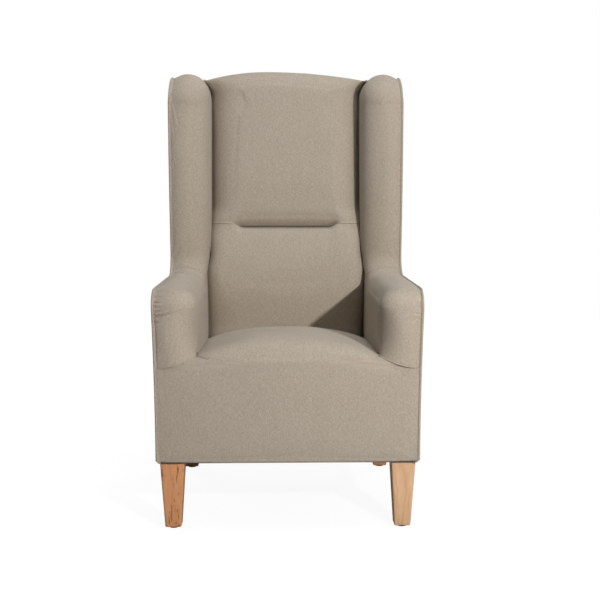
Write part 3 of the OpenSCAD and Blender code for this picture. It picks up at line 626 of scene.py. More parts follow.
@dataclass(frozen=True)
class LinenFinish:
    """Linen-look melange cloth in plain weave, from the cloth's own lengths."""

    name: str = "melange_linen"
    pitch: float = 0.0011
    dark: Colour = (151, 137, 120)
    middle: Colour = (173, 160, 144)
    light: Colour = (191, 180, 165)
    stops: tuple[float, float, float] = (0.26, 0.5, 0.76)
    sheen_tint: Colour = (250, 246, 240)
    slub_share: float = 0.15
    warp_slice: float = 3.1
    weft_slice: float = 9.7
    cloud_scale: float = 14.0
    cloud_depth: float = 0.06
    relief: float = 0.0003

    def make(self) -> bpy.types.Material:
        """Builds the material.

        Returns:
            The material.
        """
        mixer = Recipe(bpy.data.materials.new(self.name))
        lengths = mixer.add("ShaderNodeUVMap", {}, uv_map=CLOTH_MAP).outputs[0]
        parts = mixer.add("ShaderNodeSeparateXYZ", {0: lengths}).outputs
        warp, weft = (mixer.sums("DIVIDE", part, self.pitch) for part in parts[:2])
        cell = mixer.sums("ADD", mixer.sums("FLOOR", warp), mixer.sums("FLOOR", weft))
        warp_up = mixer.sums("PINGPONG", cell, 1.0)
        along_warp, along_weft = (mixer.sums("MULTIPLY", count, self.slub_share)
                                  for count in (warp, weft))
        tone = mixer.blend(
            warp_up, mixer.noise(mixer.vector(along_warp, weft, self.warp_slice), detail=1.0),
            mixer.noise(mixer.vector(warp, along_weft, self.weft_slice), detail=1.0))
        cloud = mixer.sums("SUBTRACT", mixer.noise(mixer.place(), self.cloud_scale), 0.5)
        tone = mixer.sums("ADD", tone, mixer.sums("MULTIPLY", cloud, self.cloud_depth))
        height = mixer.blend(warp_up, self.thread_height(mixer, weft),
                             self.thread_height(mixer, warp))
        mixer.bump(mixer.sums("ADD", height, tone), distance=self.relief, strength=0.45)
        stops = list(zip(self.stops, (self.dark, self.middle, self.light)))
        mixer.set(Base_Color=mixer.ramp(tone, stops), Roughness=0.92, Sheen_Weight=0.12,
                  Sheen_Roughness=0.45, Specular_IOR_Level=0.2,
                  Sheen_Tint=linear(self.sheen_tint))
        return mixer.owner

    def thread_height(self, mixer: Recipe, count: object) -> bpy.types.NodeSocket:
        """Rounded profile across the threads of one direction."""
        turn = mixer.sums("MULTIPLY", count, math.pi)
        return mixer.sums("ABSOLUTE", mixer.sums("SINE", turn))


@dataclass(frozen=True)
class WoodFinish:
    """Wood with its grain along Z, some of it with an orange glow and dark flecks."""

    name: str
    pale: Colour
    middle: Colour
    dark: Colour
    stops: tuple[float, float, float] = (0.3, 0.48, 0.66)
    flecks: float = 0.0
    fleck_from: float = 0.62
    fleck: Colour = (140, 78, 44)
    glow: Colour = (234, 160, 108)
    wave: Point = (4, 4, 1.2)
    wave_depth: float = 9.0
    rings: Point = (90.0, 90.0, 3.0)
    pores: Point = (520, 520, 14)
    pore_share: float = 0.3
    streaks: Point = (150, 150, 24)

    def make(self) -> bpy.types.Material:
        """Builds the material.

        Returns:
            The material.
        """
        mixer = Recipe(bpy.data.materials.new(self.name))
        wander = mixer.noise(mixer.place(self.wave), scale=3.0, detail=3.0)
        shift = mixer.vector(mixer.sums("MULTIPLY", wander, self.wave_depth))
        bent = mixer.add("ShaderNodeVectorMath", {0: mixer.place(self.rings), 1: shift},
                         operation="ADD").outputs[0]
        tone = mixer.blend(self.pore_share, mixer.noise(bent, detail=4.0, roughness=0.6),
                           mixer.noise(mixer.place(self.pores)))
        stops = list(zip(self.stops, (self.dark, self.middle, self.pale)))
        colour = mixer.ramp(tone, stops)
        if self.flecks:
            spots = mixer.noise(mixer.place(self.streaks), detail=3.0, roughness=0.7)
            mask = mixer.sums("GREATER_THAN", spots, self.fleck_from)
            for pattern, tint in ((wander, self.glow), (mask, self.fleck)):
                share = mixer.sums("MULTIPLY", pattern, self.flecks)
                colour = mixer.blend_colours(share, colour, linear(tint))
        mixer.bump(tone, distance=0.0004, strength=0.25)
        mixer.set(Base_Color=colour, Roughness=0.48, Coat_Weight=0.12, Coat_Roughness=0.35,
                  Specular_IOR_Level=0.4)
        return mixer.owner


@dataclass(frozen=True)
class PlainFinish:
    """A finish of two tones in fine grain: steel, plastic, felt, webbing or lining cloth."""

    name: str
    first: Colour
    second: Colour
    scale: Point = (900.0, 900.0, 900.0)
    roughness: float = 0.8
    metallic: float = 0.0
    relief: float = 0.0002

    def make(self) -> bpy.types.Material:
        """Builds the material.

        Returns:
            The material.
        """
        mixer = Recipe(bpy.data.materials.new(self.name))
        grain = mixer.noise(mixer.place(self.scale), detail=3.0, roughness=0.6)
        mixer.bump(grain, distance=self.relief, strength=0.4)
        mixer.set(Base_Color=mixer.ramp(grain, ((0.35, self.first), (0.65, self.second))),
                  Roughness=self.roughness, Metallic=self.metallic)
        return mixer.owner


# Covers


@dataclass
class Cover:
    """A cloth cover sewn over padding. Subclasses lay out its form."""

    cloth: bpy.types.Material
    sizes: ChairSizes = SIZES
    stuffing: Stuffing = Stuffing()
    fill: float = 0.8
    thickness: float = 0.0018

    def pad(self, name: str, grid: Grid, outward: Point) -> bpy.types.Object:
        """Lays a sheet on its form and swells it.

        Args:
            name: Name of the piece.
            grid: Points of the form by row and column.
            outward: Rough direction of the outer face.

        Returns:
            The open sheet.
        """
        piece = lay_cloth(name, grid, outward)
        self.stuffing.fill(piece)
        return piece

    def close(self, piece: bpy.types.Object) -> None:
        """Gives the cloth its thickness, inwards, and its finish.

        Args:
            piece: The open sheet.
        """
        apply_modifier(piece, "SOLIDIFY", thickness=self.thickness, offset=-1.0,
                       use_even_offset=False)
        smooth(piece, degrees=50)
        dress(piece, self.cloth)

    def finish(self, piece: bpy.types.Object, nodes: Sequence[str]) -> None:
        """Closes a padded cover and ties it to its nodes.

        Args:
            piece: The open sheet.
            nodes: The nodes of its cover and foam.
        """
        self.close(piece)
        declare(piece, nodes)


@dataclass
class SeatAndFront(Cover):
    """One cloth from the base's lower edge over the rolled front to the crease."""

    columns: int = 128
    fit: float = 0.0006
    power: float = 3.0
    corner_power: float = 14.0
    hem_crowding: float = 1.3
    nose_follow: float = 0.9
    counts: tuple[int, ...] = (70, 18, 20, 90, 6)

    def round_back(self, x: float, depth: float) -> float:
        """How far the arm's rounded inner edge draws a row's corner back.

        Args:
            x: Place of the corner across.
            depth: Depth that the row has already.

        Returns:
            The extra depth.
        """
        edge = Band().arm
        turned = rise(self.sizes.arm_x + edge.across - x, 0, edge.across)
        return max(0.0, edge.deep * arc(turned) - edge.crown * turned - depth)

    def row(self, half: float, depth: float, mid_z: float, side_z: float, crown: float,
            drawn: float = 0.0) -> list[Point]:
        """Points of one row from side to side.

        Args:
            half: Half the row's width.
            depth: Depth of the row's middle.
            mid_z: Height of the middle.
            side_z: Height of the sides.
            crown: How much further back the sides lie.
            drawn: How much further back the very corners lie.

        Returns:
            The row's points.
        """
        points = []
        for share in spread(self.columns):
            x = mix(-half, half, share)
            bent = abs(x / half) ** self.power
            corner = drawn * abs(x / half) ** self.corner_power
            points.append((x, self.sizes.front_y + depth + crown * bent + corner,
                           mix(mid_z, side_z, bent)))
        return points

    def form(self) -> Grid:
        """Rows up the front panel, along the arm seams, round the nose and back to the crease.

        Returns:
            The points by row and column.
        """
        s = self.sizes
        panel_half = s.cloth_edge(s.side_half + s.flare_at(s.arm_seam_z))
        seat_half = s.arm_x - self.fit
        nose_z = s.seat_height - s.seat_nose_r
        crease = s.seat_depth - self.fit
        panel_n, seam_n, nose_n, top_n, tuck_n = self.counts
        rows = []
        for share in spread(panel_n):
            z = mix(s.leg_height, s.arm_seam_z - s.seam_gap, share ** self.hem_crowding)
            roll = s.hem_roll(z)
            half = s.cloth_edge(s.side_half + s.flare_at(z)) - roll
            rows.append(self.row(half, roll, z, z, s.front_crown))
        for share in spread(seam_n)[1:]:
            half = mix(panel_half, seat_half, share)
            rows.append(self.row(half, 0, mix(s.arm_seam_z, nose_z, share),
                                 s.seam_z(half) - s.seam_gap, s.front_crown,
                                 self.round_back(half, 0)))
        for share in spread(nose_n)[1:]:
            depth = s.seat_nose_r * (1 - math.cos(QUARTER * share))
            rows.append(self.row(seat_half, depth,
                                 nose_z + s.seat_nose_r * math.sin(QUARTER * share),
                                 s.seam_inner_z, s.front_crown,
                                 self.round_back(seat_half, self.nose_follow * depth)))
        for share in spread(top_n)[1:]:
            rows.append(self.row(seat_half, mix(s.seat_nose_r, crease, share),
                                 s.seat_height - s.seat_fall * share * share,
                                 mix(s.seam_inner_z, s.seat_side_z, share),
                                 s.front_crown * (1 - share)))
        for share in spread(tuck_n)[1:]:
            drop = s.tuck * share
            rows.append(self.row(seat_half, crease, s.pad_foot_z - drop, s.seat_side_z - drop, 0))
        return np.array(rows)

    def build(self) -> None:
        """Makes the cover of seat and front panel."""
        piece = self.pad("seat_and_front_upholstery", self.form(), (0, -1, 1))
        self.finish(piece, ["seat_and_front_cover", "seat_foam", "front_foam"])


@dataclass
class BackPads(Cover):
    """The inside back: a lumbar pad and an upper pad that meet in a sewn channel.

    An edge is how wide and how deep a pad's side is rounded. Depth near the seam is a wide hollow
    and a narrow roll on the upper pad, or a lip on the lumbar pad, each as a share of the channel's
    depth in the plain seam and in the channel.
    """

    fill: float = 0.75
    columns: int = 120
    lumbar_n: int = 84
    upper_counts: tuple[int, int, int] = (88, 18, 20)
    fit: float = 0.0006
    upper_edge: tuple[float, float] = (0.084, 0.080)
    seam_edge: tuple[float, float] = (0.060, 0.046)
    lumbar_edge: tuple[float, float] = (0.044, 0.038)
    foot_edge: tuple[float, float] = (0.080, 0.050)
    upper_fade: float = 0.060
    lumbar_fade: float = 0.050
    roundness: float = 0.985
    hollow: float = 0.130
    hollow_shares: tuple[float, float] = (0.3, 1.0)
    roll: float = 0.032
    roll_power: float = 2.3
    roll_shares: tuple[float, float] = (0.15, 1.8)
    lip: float = 0.006
    wing_round: tuple[float, float, float] = (0.014, 0.068, 0.062)
    most_turned: float = 0.85
    early_turn: float = 0.010
    channel_half: float = 0.128
    channel_fade: float = 0.034
    channel_dip: float = 0.010
    lift_reach: float = 0.240

    def half_at(self, z: float) -> float:
        """Half the pads' width between arms or wings.

        Args:
            z: Height.

        Returns:
            The half width.
        """
        s = self.sizes
        turn_z = s.arm_height + s.arm_rise + s.wing_fillet_r - self.early_turn
        half = mix(s.arm_x, s.wing_x, rise(z, turn_z - s.wing_fillet_r * math.sqrt(0.5), turn_z))
        crown, across, deep = self.wing_round
        turned = rise(z, s.wing_height + crown - deep, s.wing_height + crown)
        return half - self.fit + across * arc(min(turned, self.most_turned))

    def channel_share(self, x: float) -> float:
        """1 where the channel is deep, and 0 towards the sides, where it is a plain seam."""
        return 1 - ease(rise(abs(x), self.channel_half, self.channel_half + self.channel_fade))

    def seam_z(self, x: float) -> float:
        """Height of the channel, which dips in the middle."""
        return self.sizes.lumbar_seam_z + self.channel_dip * (0.5 - self.channel_share(x))

    def channel(self, x: float, z: float, low: bool) -> float:
        """Extra depth near the channel.

        Args:
            x: Place across.
            z: Height.
            low: Whether the point is on the lumbar pad.

        Returns:
            How much deeper than the plain pad the point lies.
        """
        away = abs(z - self.seam_z(x))
        hollow = max(0.0, 1 - away / self.hollow) ** (2 if low else 1) / 2
        near = max(0.0, 1 - away / (self.lip if low else self.roll)) ** self.roll_power
        share = self.channel_share(x)
        return self.sizes.channel_depth * (hollow * mix(*self.hollow_shares, share)
                                           + near * mix(*self.roll_shares, share))

    def draw(self, side: float, z: float) -> float:
        """How far a pad's rounded side is drawn in.

        Args:
            side: Share across, from -1 to 1.
            z: Height.

        Returns:
            The extra depth.
        """
        s = self.sizes
        seam_z = s.lumbar_seam_z
        wide, deep = self.seam_edge
        for edge, start, end in ((self.upper_edge, seam_z, seam_z + self.upper_fade),
                                 (self.lumbar_edge, seam_z, seam_z - self.lumbar_fade),
                                 (self.foot_edge, s.arm_height, s.pad_foot_z)):
            share = ease(rise(z, start, end))
            wide = mix(wide, edge[0], share)
            deep = mix(deep, edge[1], share)
        turned = rise(abs(side), 1 - wide / s.wing_x, 1)
        return deep * (1 - math.sqrt(1 - self.roundness * turned * turned))

    def lumbar_point(self, up: float, across: float) -> Point:
        """A point of the lumbar pad, which goes from its tuck up to the channel.

        Args:
            up: Share of the way up.
            across: Share of the way across, from the left.

        Returns:
            The point.
        """
        s = self.sizes
        side = mix(-1, 1, across)
        x = side * s.arm_x
        z = mix(s.seat_side_z - s.tuck, self.seam_z(x) - s.seam_gap, up)
        swell = s.lumbar_swell * math.sin(math.pi * rise(z, s.pad_foot_z, self.seam_z(x)))
        face = s.pad_at(max(z, s.pad_foot_z)) - swell + self.channel(x, z, True)
        return (side * self.half_at(z), s.front_y + (face + self.draw(side, z)), z)

    def upper_depth(self, x: float, z: float) -> float:
        """Depth of the upper pad's face."""
        return self.sizes.pad_at(z) + self.channel(x, z, False)

    def upper_point(self, side: float, z: float, depth: float) -> Point:
        """A point of the upper pad, lifted towards the arched top.

        Args:
            side: Share across, from -1 to 1.
            z: Height before the lift.
            depth: Depth of the point.

        Returns:
            The point.
        """
        s = self.sizes
        corner_z = s.back_top_at(s.wing_x)
        arch = s.back_top_at(side * s.wing_x) - corner_z
        lift = arch * rise(z, s.wing_height - self.lift_reach, corner_z - s.back_top_r)
        return (side * self.half_at(z), s.front_y + depth, z + lift)

    def upper_form(self) -> Grid:
        """Rows of the upper pad from the channel up, over the rolled top to the outside back.

        Returns:
            The points by row and column.
        """
        s = self.sizes
        corner_z = s.back_top_at(s.wing_x)
        face_top = corner_z - s.back_top_r
        roll_depth = self.upper_depth(0, face_top) + s.back_top_r
        end_depth = s.rear_inner(corner_z - s.rear_edge_drop)
        sides = [mix(-1, 1, share) for share in spread(self.columns)]
        face_n, roll_n, top_n = self.upper_counts
        rows = []
        for up in spread(face_n):
            row = []
            for side in sides:
                x = side * s.wing_x
                z = mix(self.seam_z(x) + s.seam_gap, face_top, up)
                row.append(self.upper_point(side, z, self.upper_depth(x, z) + self.draw(side, z)))
            rows.append(row)
        for up in spread(roll_n)[1:]:
            sine, cosine = math.sin(QUARTER * up), math.cos(QUARTER * up)
            z = face_top + s.back_top_r * sine
            depth = roll_depth - s.back_top_r * cosine
            rows.append([self.upper_point(side, z, depth + self.draw(side, z) * cosine)
                         for side in sides])
        for up in spread(top_n)[1:]:
            z = corner_z - s.rear_edge_drop * up * up
            depth = mix(roll_depth, end_depth, up)
            rows.append([self.upper_point(side, z, depth) for side in sides])
        return np.array(rows)

    def build(self) -> None:
        """Makes both pads."""
        lumbar_form = grid_of(spread(self.lumbar_n), self.columns, self.lumbar_point)
        for part, form in (("lumbar", lumbar_form), ("upper_back", self.upper_form())):
            piece = self.pad(f"{part}_upholstery", form, (0, -1, 0))
            self.finish(piece, [f"{part}_cover", f"{part}_foam"])


@dataclass(frozen=True)
class Section:
    """Cross-section of the band: its crown, and its rounded inner edge across and into the pad."""

    crown: float
    across: float
    deep: float

    def toward(self, other: "Section", share: float) -> "Section":
        """A section at a share of the way to another one."""
        return Section(mix(self.crown, other.crown, share), mix(self.across, other.across, share),
                       mix(self.deep, other.deep, share))


@dataclass(frozen=True)
class BandRow:
    """One row of the band over the right arm or wing, with its outer and inner x."""

    depth: float
    height: float
    turn: float
    outer: float
    inner: float
    end: tuple[float, float]
    section: Section

    def at(self, inset: float) -> tuple[float, float]:
        """Depth and height at a distance into the padding."""
        return (self.depth + math.cos(self.turn) * inset,
                self.height - math.sin(self.turn) * inset)


def on_corner(depth: float, height: float, radius: float, turn: float) -> Point:
    """Depth, height and turn of a row on a rounded corner about a centre."""
    return (depth - radius * math.cos(turn), height + radius * math.sin(turn), turn)


@dataclass(frozen=True)
class Band:
    """The band of cloth that runs up the arm's front, along its top and up the wing.

    The arm's and the wing's covers meet halfway through the concave turn, at seam_turn.
    The arm's inner face ends on a line that runs back below the arm. front_share and corner_share
    are how far back it has come at the top of the front and behind the rounded corner.
    """

    sizes: ChairSizes = SIZES
    arm: Section = Section(0.0075, 0.058, 0.045)
    arm_front: Section = Section(0.0090, 0.064, 0.088)
    wing: Section = Section(0.006, 0.076, 0.064)
    wing_top: Section = Section(0.014, 0.064, 0.060)
    inner_tuck: float = 0.085
    seam_turn: float = math.pi / 4
    front_share: float = 0.28
    corner_share: float = 0.56
    head_drop: float = 0.050

    @property
    def top_start(self) -> float:
        """Depth at which the arm's top starts."""
        return self.sizes.front_crown + self.sizes.arm_corner_r

    @property
    def top_end(self) -> float:
        """Depth at which the arm's top ends."""
        return self.sizes.wing_depth - self.sizes.wing_fillet_r

    @property
    def foot_z(self) -> float:
        """Height at which the concave turn ends in the wing's front."""
        return self.sizes.arm_height + self.sizes.arm_rise + self.sizes.wing_fillet_r

    @property
    def head_depth(self) -> float:
        """Depth at which the wing's top starts, behind its rounded corner."""
        return self.sizes.wing_depth + self.sizes.wing_lean + self.sizes.wing_corner_r

    def outer_at(self, z: float) -> float:
        """X of the outer edge up the front, with its swell and its curled lower end."""
        return self.sizes.side_half + self.sizes.flare_at(z) - self.sizes.hem_roll(z)

    def pad_end(self, z: float) -> tuple[float, float]:
        """Depth and height at which an inner face ends behind the pads."""
        return (self.sizes.pad_at(z) + self.inner_tuck, z)

    def arm_end(self, share: float, z: float) -> tuple[float, float]:
        """Depth and height at which the arm's inner face ends, at a share of its way back."""
        front = self.sizes.front_crown + self.arm.deep + self.sizes.tuck
        return (mix(front, self.pad_end(z)[0], share), z)

    def in_turn(self, turn: float) -> Point:
        """Depth, height and turn of a row in the concave turn from arm to wing."""
        return (self.top_end + self.sizes.wing_fillet_r * math.sin(turn),
                self.foot_z - self.sizes.wing_fillet_r * math.cos(turn), QUARTER - turn)

    def arm_rows(self, start_z: float, end_z: float, counts: Sequence[int]) -> list[BandRow]:
        """Rows up the arm's front, round its corner, along its top and into the turn.

        Args:
            start_z: Height of the first row.
            end_z: Height at which the inner face ends.
            counts: Number of rows of each of the four stretches.

        Returns:
            The rows in order.
        """
        s = self.sizes
        corner_z = s.arm_height - s.arm_corner_r
        slope = math.atan(s.arm_rise / (self.top_end - self.top_start))
        rows = []
        for k in spread(counts[0])[:-1]:
            z = mix(start_z, corner_z, k)
            rows.append(BandRow(s.front_crown, z, 0, self.outer_at(z), s.arm_x,
                                self.arm_end(self.front_share * k, end_z),
                                self.arm.toward(self.arm_front, math.sin(math.pi * k))))
        for k in spread(counts[1]):
            share = mix(self.front_share, self.corner_share, k)
            rows.append(BandRow(*on_corner(self.top_start, corner_z, s.arm_corner_r, QUARTER * k),
                                s.side_half + s.arm_flare, s.arm_x,
                                self.arm_end(share, end_z), self.arm))
        for k in spread(counts[2])[1:]:
            rows.append(BandRow(mix(self.top_start, self.top_end, k),
                                mix(s.arm_height, s.arm_height + s.arm_rise, k),
                                QUARTER - slope * (1 - k), s.side_half + s.arm_flare * (1 - k),
                                s.arm_x, self.arm_end(mix(self.corner_share, 1, k), end_z),
                                self.arm))
        for k in spread(counts[3])[1:]:
            place = self.in_turn(self.seam_turn * k)
            start, end = self.pad_end(end_z), self.pad_end(place[1])
            rows.append(BandRow(*place, s.side_half, s.arm_x,
                                (mix(start[0], end[0], k), mix(start[1], end[1], k)), self.arm))
        return rows

    def wing_rows(self, counts: Sequence[int]) -> list[BandRow]:
        """Rows from the turn up the wing's front, round its corner and back along its top.

        Args:
            counts: Number of rows of each of the four stretches.

        Returns:
            The rows in order.
        """
        s = self.sizes
        start_turn = self.seam_turn + s.seam_gap / s.wing_fillet_r
        head_z = s.wing_height - s.wing_corner_r
        head_end = self.pad_end(head_z)
        top_end = (head_end[0] + s.tuck, s.wing_height - self.head_drop)
        rows = []
        for k in spread(counts[0]):
            place = self.in_turn(mix(start_turn, QUARTER, k))
            rows.append(BandRow(*place, s.side_half, mix(s.arm_x, s.wing_x, k),
                                self.pad_end(place[1]), self.arm.toward(self.wing, k)))
        for k in spread(counts[1])[1:]:
            z = mix(self.foot_z, head_z, k)
            depth = mix(s.wing_depth, s.wing_depth + s.wing_lean, k)
            rows.append(BandRow(depth - s.wing_bulge * math.sin(math.pi * k), z, 0,
                                s.side_half + s.wing_flare * k, s.wing_x, self.pad_end(z),
                                self.wing))
        for k in spread(counts[2])[1:]:
            rows.append(BandRow(*on_corner(self.head_depth, head_z, s.wing_corner_r, QUARTER * k),
                                s.side_half + s.wing_flare * (1 - k), s.wing_x,
                                (mix(head_end[0], top_end[0], k), mix(head_end[1], top_end[1], k)),
                                self.wing.toward(self.wing_top, k)))
        last = s.rear_inner(s.wing_height)
        rear_end = s.rear_inner(top_end[1])
        for k in spread(counts[3])[1:]:
            rows.append(BandRow(mix(self.head_depth, last, k), s.wing_height,
                                QUARTER + s.recline * k, s.side_half, s.wing_x,
                                (mix(top_end[0], rear_end, k), top_end[1]), self.wing_top))
        return rows

    def edge_rows(self, arm_counts: Sequence[int], wing_counts: Sequence[int]) -> list[BandRow]:
        """Rows all along the outer edge, from the base's lower edge to the outside back."""
        arm = self.arm_rows(self.sizes.leg_height, self.sizes.arm_seam_z, arm_counts)
        return arm + self.wing_rows(wing_counts)

    def points(self, row: BandRow, counts: Sequence[int], lifted: float = 0.0) -> list[Point]:
        """Points of one row: over the crowned width, round the inner edge, down the inner face.

        Args:
            row: The row.
            counts: Number of points of each of the three stretches.
            lifted: Share of the curved arm seam's rise that raises the row.

        Returns:
            The row's points on the right side.
        """
        s = self.sizes
        shape = row.section
        round_x = row.inner + shape.across
        drop = shape.deep - shape.crown
        line = []
        for k in spread(counts[0]):
            line.append((mix(s.cloth_edge(row.outer), round_x, k),
                         row.at(-shape.crown * math.sin(QUARTER * k))))
        for k in spread(counts[1])[1:]:
            line.append((round_x - shape.across * math.sin(QUARTER * k),
                         row.at(drop - shape.deep * math.cos(QUARTER * k))))
        face = row.at(drop)
        for k in spread(counts[2])[1:]:
            line.append((row.inner, (mix(face[0], row.end[0], k), mix(face[1], row.end[1], k))))
        return [(x, s.front_y + depth, z + (s.seam_z(x) - s.arm_seam_z) * lifted)
                for x, (depth, z) in line]


@dataclass(frozen=True)
class Crease:
    """A short crease where the cloth is gathered at the outer edge."""

    height: float
    length: float
    slope: float = 0.0
    depth: float = 0.0030
    width: float = 0.0024

    def dent(self, away: Grid, z: Grid) -> Grid:
        """Depth of the crease.

        Args:
            away: Distances from the outer edge.
            z: Heights.

        Returns:
            How far each point is pressed in, or out where it is negative.
        """
        across = (z - self.height - self.slope * away) / self.width
        fade = ease(np.clip(1 - away / self.length, 0, 1))
        return self.depth * fade * (1 - across * across) * np.exp(-across * across / 2)


@dataclass
class ArmAndWing(Cover):
    """The padded covers of one side's arm and wing, made on the right and mirrored."""

    band: Band = Band()
    across: tuple[int, int, int] = (26, 26, 36)
    front_gain: float = 2.0
    arm_counts: tuple[int, ...] = (96, 50, 90, 14)
    wing_counts: tuple[int, ...] = (12, 100, 30, 44)
    left_creases: tuple[Crease, ...] = (
        Crease(0.603, 0.022, 0.15), Crease(0.592, 0.030, 0.1), Crease(0.580, 0.026),
        Crease(0.569, 0.034, 0.05), Crease(0.558, 0.024, 0.1),
        Crease(0.546, 0.080, 0.21, 0.0042, 0.0030), Crease(0.531, 0.024),
        Crease(1.136, 0.034, 0.15, 0.0016))
    right_creases: tuple[Crease, ...] = (
        Crease(0.596, 0.020, 0.1, 0.0015), Crease(0.574, 0.018, 0.1, 0.0012),
        Crease(0.549, 0.026, 0.2, 0.0018), Crease(0.536, 0.020, 0.2, 0.0014))

    def arm_form(self) -> Grid:
        """The arm's cover from the curved seam up and back to the seam with the wing.

        Returns:
            The points by row and column.
        """
        s = self.sizes
        rows = self.band.arm_rows(s.arm_seam_z + s.seam_gap, s.seam_inner_z - s.tuck,
                                  self.arm_counts)
        return np.array([
            self.band.points(row, self.across, max(0.0, 1 - number / self.arm_counts[0]))
            for number, row in enumerate(rows)])

    def wing_form(self) -> Grid:
        """The wing's cover from its seam with the arm up and back to the outside back."""
        rows = self.band.wing_rows(self.wing_counts)
        return np.array([self.band.points(row, self.across) for row in rows])

    def mirrored(self, piece: bpy.types.Object, name: str) -> bpy.types.Object:
        """A copy of a piece on the other side, with its own mesh and its faces turned out.

        Args:
            piece: The piece on the right.
            name: Name of the copy.

        Returns:
            The copy.
        """
        twin = piece.copy()
        twin.data = piece.data.copy()
        twin.name = twin.data.name = name
        bpy.context.collection.objects.link(twin)
        put(twin, places(twin) * np.array([-1, 1, 1]))
        turn_over(twin)
        return twin

    def gather(self, piece: bpy.types.Object, creases: Sequence[Crease]) -> None:
        """Presses creases into the front of an arm or a wing.

        Args:
            piece: The swelled sheet.
            creases: The creases of its side.
        """
        s = self.sizes
        form = places(piece)
        facing = normals(piece)
        away = s.cloth_edge(s.side_half + s.arm_flare) + s.gap - np.abs(form[:, 0])
        front = np.clip(-self.front_gain * facing[:, 1], 0, 1)
        dent = sum(crease.dent(away, form[:, 2]) for crease in creases)
        put(piece, form - facing * (dent * front)[:, None])

    def build(self) -> None:
        """Makes the covers of both arms and both wings."""
        for part, form in (("arm", self.arm_form()), ("wing", self.wing_form())):
            right = self.pad(f"right_{part}_upholstery", form, (-1, -1, 1))
            left = self.mirrored(right, f"left_{part}_upholstery")
            for side, piece, creases in ((Side.RIGHT, right, self.right_creases),
                                         (Side.LEFT, left, self.left_creases)):
                self.gather(piece, creases)
                self.finish(piece, [f"{side.word}_{part}_cover", f"{side.word}_{part}_foam"])


@dataclass
class OutsidePanels(Cover):
    """The plain outside panels of both sides and the outside back."""

    band: Band = Band()
    arm_counts: tuple[int, ...] = (60, 16, 4, 14)
    wing_counts: tuple[int, ...] = (14, 90, 26, 4)
    columns: int = 100
    rear_n: int = 120
    swell_l: float = 0.090
    rear_crown: float = 0.004
    across_power: int = 4
    up_power: float = 0.5
    notch_turn: float = math.radians(40)

    def top_swell(self, depth: float, z: float) -> float:
        """Swell under the arm's flared top edge.

        Args:
            depth: Depth of the point.
            z: Height of the point.

        Returns:
            How far out the point is moved.
        """
        s = self.sizes
        start, end = self.band.top_start, self.band.top_end
        if z > s.arm_height + s.arm_rise or depth < start or depth > end:
            return 0.0
        near = max(0.0, 1 - (s.arm_height - z) / self.swell_l) ** 2
        return s.arm_flare * (1 - (depth - start) / (end - start)) * near

    def side_point(self, row: BandRow, share: float) -> Point:
        """A point of the right side panel.

        Args:
            row: The band's row at the front of the point's row.
            share: Share of the way back.

        Returns:
            The point.
        """
        s = self.sizes
        start, z = row.at(s.piping_r + s.gap)
        depth = mix(start, s.rear_at(z), share)
        near = max(0.0, 1 - (depth - start) / self.swell_l) ** 2
        low = z < s.arm_height - s.arm_corner_r
        flare = s.flare_at(z) if low else row.outer - s.side_half
        swell = max(flare * near, self.top_swell(depth, z))
        return (s.side_half + swell - s.hem_roll(z), s.front_y + depth, z)

    def crest(self, x: float) -> float:
        """Height of the outside back's top edge, with a wing beyond each notch.

        Args:
            x: Place across.

        Returns:
            The height.
        """
        s = self.sizes
        notch_x = s.wing_x + s.wing_top_edge_r * (1 - math.sin(self.notch_turn))
        round_x = s.wing_x + s.wing_top_edge_r
        away = abs(x)
        if away < notch_x:
            return s.back_top_at(x * s.wing_x / notch_x) - s.rear_edge_drop
        if away < round_x:
            return (s.wing_height + s.wing_top_crown - s.wing_top_edge_r
                    + math.sqrt(s.wing_top_edge_r ** 2 - (round_x - away) ** 2))
        share = rise(s.side_half - away, 0, s.side_half - round_x)
        return s.wing_height + s.wing_top_crown * math.sin(QUARTER * share)

    def rear_point(self, up: float, across: float) -> Point:
        """A point of the outside back, which is slightly crowned.

        Args:
            up: Share of the way up.
            across: Share of the way across, from the left.

        Returns:
            The point.
        """
        s = self.sizes
        half = s.side_half - s.cover_t - s.gap
        x = mix(-half, half, across)
        z = mix(s.leg_height, self.crest(x), up)
        bulge = (self.rear_crown * (1 - (x / half) ** self.across_power)
                 * math.sin(math.pi * up) ** self.up_power)
        return (x, s.front_y + s.rear_at(z) + bulge, z)

    def stretch(self, piece: bpy.types.Object, board: str, node: str) -> None:
        """Args:
            piece: The open sheet.
            board: The board under it.
            node: The node that it stands for.
        """
        lengths = np.ptp(read_rows(piece.data.uv_layers[CLOTH_MAP].data, "uv", 2), axis=0)
        area = sum(face.area for face in piece.data.polygons)
        self.close(piece)
        declare_stretched(piece, *lengths.tolist(), area, [board])
        declare(piece, [node])

    def build(self) -> None:
        """Makes the three outside panels."""
        rows = self.band.edge_rows(self.arm_counts, self.wing_counts)
        form = grid_of([row for row in rows if row.turn <= QUARTER], self.columns,
                       self.side_point)
        for side in Side:
            panel = lay_cloth(f"{side.word}_outside_panel", form * np.array([side.value, 1, 1]),
                              (side.value, 0, 0))
            self.stretch(panel, f"{side.word}_side_board", f"{side.word}_side_cover")
        form = grid_of(spread(self.rear_n), self.columns, self.rear_point)
        panel = lay_cloth("outside_back_panel", form, (0, 1, 0))
        self.stretch(panel, "rear_board", "rear_cover")


